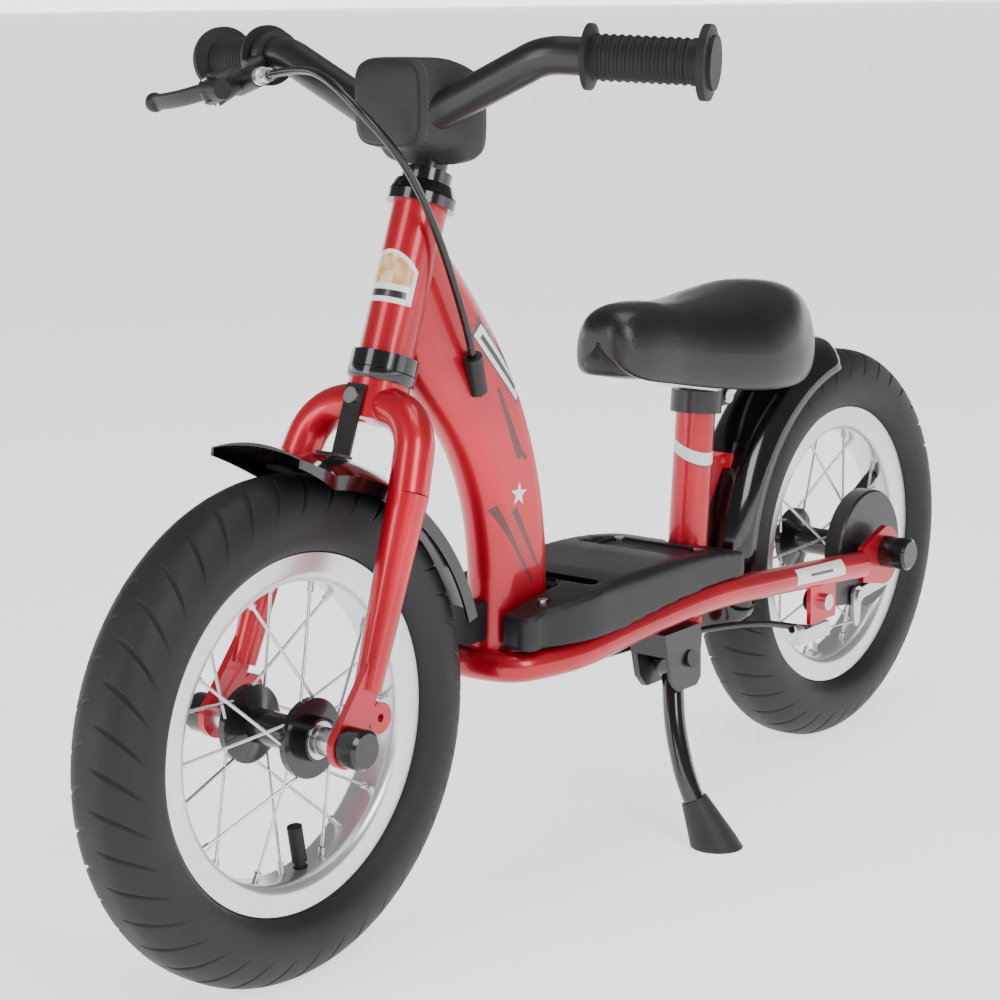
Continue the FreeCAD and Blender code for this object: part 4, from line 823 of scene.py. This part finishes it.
def row_tree() -> bpy.types.NodeTree:
    """A tree that lays a small piece at even steps along a line."""
    recipe = Recipe("row_along_line", {
        "Line": "NodeSocketObject", "Count": "NodeSocketInt", "Item": "NodeSocketObject",
        "Finish": "NodeSocketMaterial",
    })
    given = recipe.given
    line = recipe.step("GeometryNodeObjectInfo", {}, {"Object": given["Line"]})
    points = recipe.step("GeometryNodeCurveToPoints", {"mode": "COUNT"},
                         {"Curve": line["Geometry"], "Count": given["Count"]})
    item = recipe.step("GeometryNodeObjectInfo", {}, {"Object": given["Item"]})
    copies = recipe.step("GeometryNodeInstanceOnPoints", {}, {
        "Points": points["Points"], "Instance": item["Geometry"], "Rotation": points["Rotation"],
    })
    real = recipe.step("GeometryNodeRealizeInstances", {}, {0: copies[0]})
    done = recipe.step("GeometryNodeSetMaterial", {}, {"Geometry": real[0], "Material": given["Finish"]})
    return recipe.finish(done[0])


def soften_tree() -> bpy.types.NodeTree:
    """A tree that welds a machined piece's faces and shades all but its sharp edges smooth."""
    recipe = Recipe("soften_edges", {})
    welded = recipe.step("GeometryNodeMergeByDistance", {},
                         {"Geometry": recipe.given["Geometry"], "Distance": 0.000004})
    smooth = recipe.step("GeometryNodeSetShadeSmooth", {"domain": "FACE"},
                         {"Geometry": welded[0], "Shade Smooth": True})
    edges = recipe.step("GeometryNodeInputMeshEdgeAngle")
    sharp = recipe.step("FunctionNodeCompare", {"data_type": "FLOAT", "operation": "GREATER_THAN"},
                        {0: edges["Unsigned Angle"], 1: math.radians(32)})
    done = recipe.step("GeometryNodeSetShadeSmooth", {"domain": "EDGE"},
                       {"Geometry": smooth[0], "Selection": sharp[0], "Shade Smooth": False})
    return recipe.finish(done[0])


# ---------------------------------------------------------------- sub-assemblies
@dataclass
class Tyre:
    """An air tyre with one long curved slash a pitch across each shoulder."""

    end: str
    centre: Point
    pitches: int = 40
    depth: float = 0.0016
    sweep: float = 0.2
    groove_from: float = 0.0035
    groove_span: float = 0.0335
    groove_edge: float = 0.03
    profile: Tuple[Tuple[float, float], ...] = (
        (0.1525, 0.0), (0.1524, 0.0045), (0.1518, 0.0088), (0.1502, 0.0128), (0.1474, 0.017),
        (0.1432, 0.0208), (0.1378, 0.0238), (0.1318, 0.0256), (0.1258, 0.0261), (0.1205, 0.0254),
        (0.1158, 0.0236), (0.112, 0.0206), (0.1092, 0.017), (0.1081, 0.0138),
    )

    def groove(self, share: float, reach: float, left: bool) -> float:
        """How deep the tread is cut, from 0 to 1.

        Args:
            share: place within one pitch, from 0 to 1.
            reach: distance from the crown along the section, in metres.
            left: whether the place is on the left shoulder.

        Returns:
            The share of the full depth.
        """
        along = (reach - self.groove_from) / self.groove_span
        if not 0.0 < along < 1.0:
            return 0.0
        swell = math.sin(math.pi * along ** 0.7) ** 0.6
        off = abs(share - (0.25 if left else 0.75))
        half = self.groove_edge + 0.035 * swell
        return swell * min(1.0, max(0.0, (half - off) / self.groove_edge))

    def segment(self) -> bpy.types.Object:
        """One pitch of the casing, about an axle at the origin.

        Returns:
            The segment, with both its cut edges on matching lines.
        """
        half = spline_through([(r, w, 0.0) for r, w in self.profile], 4)
        reach = [0.0]
        for before, after in zip(half, half[1:]):
            reach.append(reach[-1] + (after - before).length)
        rows = [(p.x, -p.y, -s) for p, s in zip(reversed(half), reversed(reach))]
        rows += [(p.x, p.y, s) for p, s in zip(half[1:], reach[1:])]
        bead = [(0.1022, 0.013, 1.0), (0.1022, 0.0098, 1.0), (0.1135, 0.014, 1.0), (0.127, 0.0215, 1.0),
                (0.14, 0.016, 1.0), (0.1468, 0.0, 1.0)]
        rows += bead + [(r, -w, 1.0) for r, w, _ in reversed(bead[:-1])]
        shares = (0.0, 0.1, 0.165, 0.19, 0.215, 0.25, 0.285, 0.31, 0.335, 0.4, 0.5,
                  0.6, 0.665, 0.69, 0.715, 0.75, 0.785, 0.81, 0.835, 0.9, 1.0)
        pitch = 2.0 * math.pi / self.pitches
        points: List[Vector] = []
        for share in shares:
            for radius, left, along in rows:
                outer = abs(along) < 0.5
                bend = self.sweep * (abs(along) / 0.045) ** 1.6 if outer else self.sweep * 0.9
                angle = share * pitch + (bend if outer else 0.0)
                cut = self.groove(share, abs(along), left > 0) * self.depth if outer else 0.0
                deep = radius - cut * 0.9
                narrow = left - math.copysign(cut * min(1.0, abs(left) / 0.03), left)
                points.append(Vector((deep * math.sin(angle), narrow, deep * math.cos(angle))))
        size = len(rows)
        faces = []
        for column in range(len(shares) - 1):
            for k in range(size):
                a, b = column * size + k, column * size + (k + 1) % size
                faces.append((a, a + size, b + size, b))
        return solid(self.end + "_tyre_segment", points, faces)

    def build(self, tree: bpy.types.NodeTree, finish: bpy.types.Material) -> None:
        """Turn the segment round the axle and put the tyre on its wheel."""
        segment = self.segment()
        name = self.end + "_tyre_tread"
        tyre = Recipe.run(tree, name, Segment=segment, Count=self.pitches, Centre=self.centre, Finish=finish)
        bpy.data.objects.remove(segment)
        outward(tyre)
        dress(tyre, finish, self.end + "_wheel", "tyre_rubber", self.end + "_tyre")


@dataclass
class SpokeHeads:
    """The rounded heads of the spokes on the hub's two flanges."""

    end: str
    centre: Point
    flange: float = 0.0195
    left: float = 0.0248
    radius: float = 0.0021

    def build(self, tree: bpy.types.NodeTree, finish: bpy.types.Material) -> None:
        """Lay ten heads on each flange."""
        for side, label in ((1, "left"), (-1, "right")):
            rings = []
            for level, share in ((0.0, 1.0), (0.0007, 0.92), (0.0012, 0.66), (0.0015, 0.25)):
                rings.append([
                    Vector((self.radius * share * math.cos(t), side * (self.left + level),
                            self.flange + self.radius * share * math.sin(t)))
                    for t in (k * math.pi / 5 for k in range(10))
                ])
            head = loft("head_template", rings)
            name = "%s_%s_spoke_heads" % (self.end, label)
            heads = Recipe.run(tree, name, Segment=head, Count=10, Centre=self.centre, Finish=finish)
            bpy.data.objects.remove(head)
            dress(heads, finish, self.end + "_wheel", "zinc_steel")


@dataclass
class Saddle:
    """A moulded saddle: narrow nose, raised tail and rounded skirts over a hollow."""

    sections: Tuple[Section, ...] = (
        # x, half width, top, bottom
        (-0.014, 0.015, 0.356, 0.333), (-0.017, 0.0208, 0.361, 0.3275), (-0.023, 0.0258, 0.3656, 0.3228),
        (-0.034, 0.03, 0.3686, 0.3185), (-0.048, 0.0328, 0.3692, 0.3155), (-0.063, 0.0352, 0.3684, 0.3126),
        (-0.08, 0.0392, 0.3662, 0.3092), (-0.1, 0.045, 0.3652, 0.3056), (-0.125, 0.0525, 0.3658, 0.3018),
        (-0.15, 0.0583, 0.3677, 0.2992), (-0.172, 0.0592, 0.3697, 0.2984), (-0.19, 0.057, 0.3707, 0.2988),
        (-0.208, 0.051, 0.3695, 0.3012), (-0.225, 0.042, 0.366, 0.3056), (-0.24, 0.031, 0.36, 0.3106),
        (-0.2495, 0.019, 0.3525, 0.3165),
    )
    well: float = 0.0216
    nose_well: float = 0.0085
    nose_x: float = -0.052
    caps: Tuple[Tuple[float, float], ...] = ((0.8, 0.55), (0.5, 0.88), (0.2, 1.0))

    def ring(self, x: float, half: float, top: float, bottom: float) -> List[Vector]:
        """One section, from the crown down one skirt, through the hollow and up the other.

        Args:
            x: where it is.
            half: half its width.
            top: height of its crown.
            bottom: height of its skirts.

        Returns:
            The section's points.
        """
        tall = top - bottom
        deeper = max(0.0, self.nose_well - abs(x - self.nose_x) * 0.19)
        hollow = bottom + min(self.well + deeper, tall * 0.6)
        right = [
            (0.0, top), (0.34, top - tall * 0.022), (0.64, top - tall * 0.115), (0.86, top - tall * 0.3),
            (0.975, top - tall * 0.56), (1.0, top - tall * 0.76), (0.972, bottom + tall * 0.085),
            (0.9, bottom + 0.0004), (0.8, bottom + 0.0002), (0.725, bottom + tall * 0.07),
            (0.69, hollow - 0.001), (0.55, hollow), (0.28, hollow),
        ]
        outline = [(0.0, u * half, z) for u, z in right] + [(0.0, 0.0, hollow)]
        outline += [(0.0, -u * half, z) for u, z in reversed(right[1:])]
        return [Vector((x, p.y, p.z)) for p in spline_through(outline, 4, closed=True)]

    def build(self, finish: bpy.types.Material) -> None:
        """Make the cushion with softly closed ends."""
        rings = [self.ring(*section) for section in between(self.sections, 5)]
        rings = rounded_ends(rings, self.caps, 0.0016, -0.0018)
        cushion = dress(loft("saddle_cushion", rings), finish, "seat", "saddle_leather", "saddle")


@dataclass
class StemPad:
    """The soft cover over the stem: a puffed block, narrower behind, with bound edges and stitches."""

    stations: Tuple[Section, ...] = (
        # x, half width, top, bottom
        (0.1388, 0.0225, 0.515, 0.49), (0.1405, 0.0268, 0.5215, 0.4835), (0.145, 0.0318, 0.5285, 0.4785),
        (0.151, 0.0352, 0.533, 0.476), (0.159, 0.0364, 0.5362, 0.4752), (0.166, 0.0366, 0.5382, 0.4758),
        (0.172, 0.0362, 0.5394, 0.4828), (0.18, 0.0342, 0.5398, 0.4846), (0.188, 0.0314, 0.54, 0.4858),
        (0.195, 0.0276, 0.5396, 0.487), (0.1995, 0.0246, 0.538, 0.4885), (0.2025, 0.0222, 0.5355, 0.4908),
        (0.204, 0.0196, 0.532, 0.494),
    )
    sides: int = 48
    corner: float = 0.42
    pinch: float = 0.03
    caps: Tuple[Tuple[float, float], ...] = ((0.9, 0.5), (0.7, 0.8), (0.35, 1.0))

    def ring(self, x: float, half: float, top: float, bottom: float) -> List[Vector]:
        """One section across the cover: a rectangle with soft corners and slightly puffed sides."""
        middle = (top + bottom) / 2
        tall = (top - bottom) / 2
        points = []
        for step in range(self.sides):
            turn = 2.0 * math.pi * step / self.sides
            c, s = math.cos(turn), math.sin(turn)
            u = math.copysign(abs(c) ** self.corner, c)
            v = math.copysign(abs(s) ** self.corner, s)
            points.append(Vector((x, half * u * (1.0 - self.pinch * v * v), middle + tall * v)))
        return points

    def line_round(self, x: float, grow: float) -> List[Point]:
        """A line round the cover at one place along it.

        Args:
            x: the place.
            grow: size of the line against the section there.

        Returns:
            The line's points; none if the place is off the cover.
        """
        for low, high in zip(self.stations, self.stations[1:]):
            if low[0] <= x <= high[0]:
                t = (x - low[0]) / (high[0] - low[0])
                half, top, bottom = (a + (b - a) * t for a, b in zip(low[1:], high[1:]))
                middle = Vector((x, 0.0, (top + bottom) / 2))
                return [tuple(middle + (p - middle) * grow) for p in self.ring(x, half, top, bottom)[::2]]
        return []

    def build(self, finish: bpy.types.Material, binding: bpy.types.Material, thread: bpy.types.Material,
              rows: bpy.types.NodeTree) -> None:
        """Make the block, its two bindings and their stitches."""
        rings = [self.ring(*station) for station in between(self.stations, 3)]
        rings = rounded_ends(rings, self.caps, -0.0006, 0.0008)
        cover = dress(loft("stem_cover", rings), finish, "handlebar", "pad_fabric", "stem_pad")
        for label, edge_x, stitch_x in (("front", 0.199, 0.1945), ("rear", 0.147, 0.152)):
            edge = self.line_round(edge_x, 0.992)
            cord = as_mesh(cord_line("edge", edge, 0.001, closed=True), label + "_pad_binding")
            dress(cord, binding, "handlebar", "pad_fabric")
            stitch_line = cord_line("line", self.line_round(stitch_x, 0.9985), 0.0, True)
            stitch = as_mesh(cord_line("stitch", [(0, 0, -0.0011), (0.00015, 0, 0), (0, 0, 0.0011)], 0.00033),
                             "stitch")
            row = Recipe.run(rows, label + "_pad_stitches", Line=stitch_line, Count=60, Item=stitch,
                             Finish=thread)
            bpy.data.objects.remove(stitch_line)
            bpy.data.objects.remove(stitch)
            dress(row, thread, "handlebar", "pad_fabric")


@dataclass
class RearMudguard:
    """The rear guard: a thin bowed section round the wheel, drawn in to a soft end."""

    centre: Point = (-AXLE_X, 0.0, AXLE_Z)
    radius: float = 0.165
    half: float = 0.0305
    drop: float = 0.0205
    wall: float = 0.0018
    first: float = -13.0
    last: float = 86.0
    soft_end: float = 7.0
    end_share: float = 0.38
    rings: int = 66
    across: int = 12

    def ring(self, angle: float, share: float) -> List[Vector]:
        """One section, outside and then inside.

        Args:
            angle: degrees from straight ahead, up over the top.
            share: its width against the full width.

        Returns:
            The section's points.
        """
        turn = math.radians(angle)
        outward_way = Vector((math.cos(turn), 0.0, math.sin(turn)))
        steps = [k / self.across for k in range(-self.across, self.across + 1)]
        points = []
        for side, offset in ((steps, 0.0), (list(reversed(steps)), self.wall)):
            for u in side:
                fall = self.drop * share * (0.35 * u * u + 0.65 * abs(u) ** 5)
                reach = self.radius - 0.0002 - fall - offset * (1.0 - 0.4 * abs(u) ** 5)
                left = (self.half * share - offset * abs(u) ** 3) * u
                points.append(Vector(self.centre) + outward_way * reach + Vector((0.0, left, 0.0)))
        return points

    def build(self, finish: bpy.types.Material) -> None:
        """Make the guard with both ends rounded in plan."""
        rings = []
        for k in range(self.rings + 1):
            angle = self.first + (self.last - self.first) * k / self.rings
            near = min(1.0, min(angle - self.first, self.last - angle) / self.soft_end)
            bow = math.sqrt(max(0.0, 1.0 - (1.0 - near) ** 2))
            rings.append(self.ring(angle, bow * (1.0 - self.end_share) + self.end_share))
        guard = loft("rear_guard", rings)
        dress(guard, finish, "frame", "mudguard_plastic", "rear_mudguard")


@dataclass
class BrakeLine:
    """The brake's housing and wire, from the lever to the drum's arm."""

    radius: float = 0.0025
    bar_route: Tuple[Point, ...] = (
        (0.207, -0.091, 0.529), (0.218, -0.052, 0.5345), (0.2345, -0.016, 0.5295),
        (0.2365, 0.011, 0.511), (0.2205, 0.026, 0.486), (0.199, 0.0258, 0.459), (0.1895, 0.025, 0.444),
    )
    frame_route: Tuple[Point, ...] = (
        (0.1895, 0.025, 0.444), (0.18, 0.0242, 0.429), (0.165, 0.0238, 0.396), (0.152, 0.0228, 0.366),
        (0.14, 0.017, 0.338), (0.121, 0.005, 0.305), (0.103, 0.0, 0.263), (0.093, 0.0, 0.213),
        (0.088, 0.002, 0.167), (0.064, 0.009, 0.138), (0.018, 0.015, 0.133), (-0.032, 0.018, 0.132),
        (-0.084, 0.022, 0.13), (-0.127, 0.0315, 0.128), (-0.163, 0.042, 0.124),
        (-0.198, 0.049, 0.1135), (-0.231, 0.049, 0.106),
    )
    wire_end: Point = (-0.2785, 0.047, 0.101)

    def build(self, jacket: bpy.types.Material, wire_finish: bpy.types.Material) -> None:
        """Make the two stretches of housing and the bare wire."""
        upper = as_mesh(cord_line("upper", self.bar_route, self.radius), "brake_housing_bar")
        dress(upper, jacket, "", "cable_jacket", "brake_cable")
        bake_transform(upper)
        lower = as_mesh(cord_line("lower", self.frame_route, self.radius), "brake_housing_frame")
        dress(lower, jacket, "", "cable_jacket")
        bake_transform(lower)
        start = self.frame_route[-1]
        middle = tuple((a + b) / 2 for a, b in zip(start, self.wire_end))
        bare = as_mesh(cord_line("wire", (start, middle, self.wire_end), 0.0008), "brake_wire")
        dress(bare, wire_finish, "", "zinc_steel")
        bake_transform(bare)


@dataclass
class Footboard:
    """The moulded board: the machined blank with every edge worn round, and a raised line on its tread."""

    grid: float = 0.0016
    passes: int = 14
    height: float = 0.192
    edge: Tuple[Tuple[float, float], ...] = (
        # x, y of the line's left half
        (-0.086, 0.0345), (-0.086, 0.037), (-0.08, 0.0375), (-0.03, 0.0375), (0.02, 0.0375), (0.034, 0.0375),
        (0.041, 0.0365), (0.042, 0.029),
    )

    def build(self, finish: bpy.types.Material) -> None:
        """Round the blank, keep it in its place and lay the line on its tread."""
        blank = linked("footboard_blank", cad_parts["footboard"].data.copy())
        remesh = blank.modifiers.new("even_grid", "REMESH")
        remesh.mode = "VOXEL"
        remesh.voxel_size = self.grid
        smooth = blank.modifiers.new("worn_edges", "SMOOTH")
        smooth.factor = 0.5
        smooth.iterations = self.passes
        board = as_mesh(blank, "moulded_footboard")
        dress(board, finish, "frame", "black_plastic", "footboard")
        rear, front = self.edge[0][0], self.edge[-1][0]
        right = [(x, -y) for x, y in reversed(self.edge)]
        points = [(x, y, self.height) for x, y in (*self.edge, (front, 0.0), *right, (rear, 0.0))]
        trim = as_mesh(cord_line("trim", points, 0.0009, closed=True), "footboard_line")
        dress(trim, finish, "frame", "black_plastic")


@dataclass
class Machined:
    """The pieces whose shape is already right, by finish."""

    finishes: Dict[str, Tuple[str, ...]] = field(default_factory=lambda: {
        "red": ("rear_dropouts", "frame_tabs", "fork_blades"),
        "red_main": ("main_tube",),
        "red_head": ("head_tube",),
        "red_seat": ("seat_tube",),
        "red_rails": ("platform_tube",),
        "satin_black": ("handlebar", "quill_stem", "seat_post", "stand_bracket", "seat_clamp", "brake_cover",
                        "mudguard_bracket"),
        "gloss_black": ("headset_cups", "headset_races", "headset_locknut", "stand_leg"),
        "guard_black": ("front_mudguard",),
        "moulded": ("lever_perch", "brake_lever", "cable_stop", "saddle_base", "frame_bumper"),
        "grip": ("grips", "front_inner_tube", "rear_inner_tube"),
        "foot": ("stand_foot",),
        "front_alloy": ("front_rim",),
        "rear_alloy": ("rear_rim",),
        "hub": ("front_hub", "rear_hub", "front_axle_nuts", "rear_axle_nuts"),
        "zinc": ("cable_clamp", "brake_arm", "barrel_adjuster", "brake_drum"),
        "steel": (
            "front_spokes", "rear_spokes", "front_axle", "rear_axle", "brake_bolts", "frame_bolts",
            "stem_bolt", "lever_pin", "crown_bolt", "saddle_rails", "saddle_clamp", "brake_band",
            "steerer_tube", "headset_bearings", "front_bearings", "rear_bearings",
        ),
    })

    def build(self, made: Dict[str, bpy.types.Material], soften: bpy.types.NodeTree) -> None:
        """Dress every one of them and smooth its shading."""
        for key, names in self.finishes.items():
            for name in names:
                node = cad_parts[name]
                node.data.materials.clear()
                node.data.materials.append(made[key])
                node.modifiers.new("soften", "NODES").node_group = soften
            log.info("%s on %d pieces", key, len(names))


@dataclass
class Studio:
    """Pale floor, soft lights and the camera."""

    eye: Point = (1.2846, 0.9442, 0.5704)
    right: Point = (-0.62, 0.7845, -0.01278)
    up: Point = (-0.16739, -0.11635, 0.979)
    lens: float = 86.05

    def camera(self) -> None:
        """Set the camera at its place."""
        data = bpy.data.cameras.new("camera")
        data.lens = self.lens
        data.sensor_width = 36.0
        made = linked("camera", data)
        right = Vector(self.right).normalized()
        up = Vector(self.up)
        up = (up - right * up.dot(right)).normalized()
        turn = Matrix((right, up, right.cross(up))).transposed()
        made.matrix_world = Matrix.Translation(self.eye) @ turn.to_4x4()
        bpy.context.scene.camera = made

    def lamp(self, name: str, place: Point, aim: Point, size: Tuple[float, float], power: float) -> None:
        """A soft rectangular lamp that faces a point.

        Args:
            name: its name.
            place: where it is.
            aim: what it faces.
            size: its width and height in metres.
            power: its power in watts.
        """
        data = bpy.data.lights.new(name, "AREA")
        data.shape = "RECTANGLE"
        data.size, data.size_y = size
        data.energy = power
        made = linked(name, data)
        made.location = place
        made.rotation_mode = "QUATERNION"
        made.rotation_quaternion = (Vector(place) - Vector(aim)).to_track_quat("Z", "Y")

    def build(self) -> None:
        """Make the floor with its low far walls, the world's light, the lamps and the camera."""
        extent, wall = 400.0, 60.0
        plan = [(-extent, -extent), (extent, -extent), (extent, extent), (-extent, extent)]
        corners = [(x, y, 0.0) for x, y in plan] + [(x, y, wall) for x, y in plan]
        sides = [(k, (k + 1) % 4, (k + 1) % 4 + 4, k + 4) for k in range(4)]
        floor = solid("floor", corners, [(0, 1, 2, 3)] + sides)
        look = Look("floor_white")
        look.feed("Base Color", (0.9, 0.9, 0.9, 1.0))
        look.feed("Roughness", 0.85)
        look.feed("Emission Color", (1.0, 1.0, 1.0, 1.0))
        look.feed("Emission Strength", 1.3)
        floor.data.materials.append(look.material)
        world = bpy.data.worlds.new("studio")
        world.use_nodes = True
        world.node_tree.nodes["Background"].inputs["Color"].default_value = (1.0, 1.0, 1.0, 1.0)
        world.node_tree.nodes["Background"].inputs["Strength"].default_value = 0.25
        bpy.context.scene.world = world
        middle = (0.0, 0.0, 0.28)
        self.lamp("key_lamp", (1.1, 2.3, 1.9), middle, (1.0, 1.6), 42.0)
        self.lamp("front_lamp", (2.6, -0.6, 1.3), middle, (0.9, 1.8), 25.0)
        self.lamp("top_lamp", (-0.2, 0.3, 2.6), middle, (1.8, 1.2), 22.0)
        self.camera()


def main() -> None:
    """Build the whole scene, piece by piece."""
    logging.basicConfig(level=logging.INFO, format="%(name)s %(message)s")
    made = {key: finish.build() for key, finish in vars(Palette()).items()}
    Studio().build()
    round_axle, along_line, soften = ring_tree(), row_tree(), soften_tree()
    BrakeLine().build(made["cable"], made["steel"])
    for end, centre in (("front", (AXLE_X, 0.0, AXLE_Z)), ("rear", (-AXLE_X, 0.0, AXLE_Z))):
        Tyre(end, centre).build(round_axle, made[end + "_tyre"])
        SpokeHeads(end, centre).build(round_axle, made["steel"])
    Saddle().build(made["leather"])
    StemPad().build(made["weave"], made["binding"], made["thread"], along_line)
    Footboard().build(made["board"])
    RearMudguard().build(made["guard_black"])
    Machined().build(made, soften)


if __name__ == "__main__":
    main()
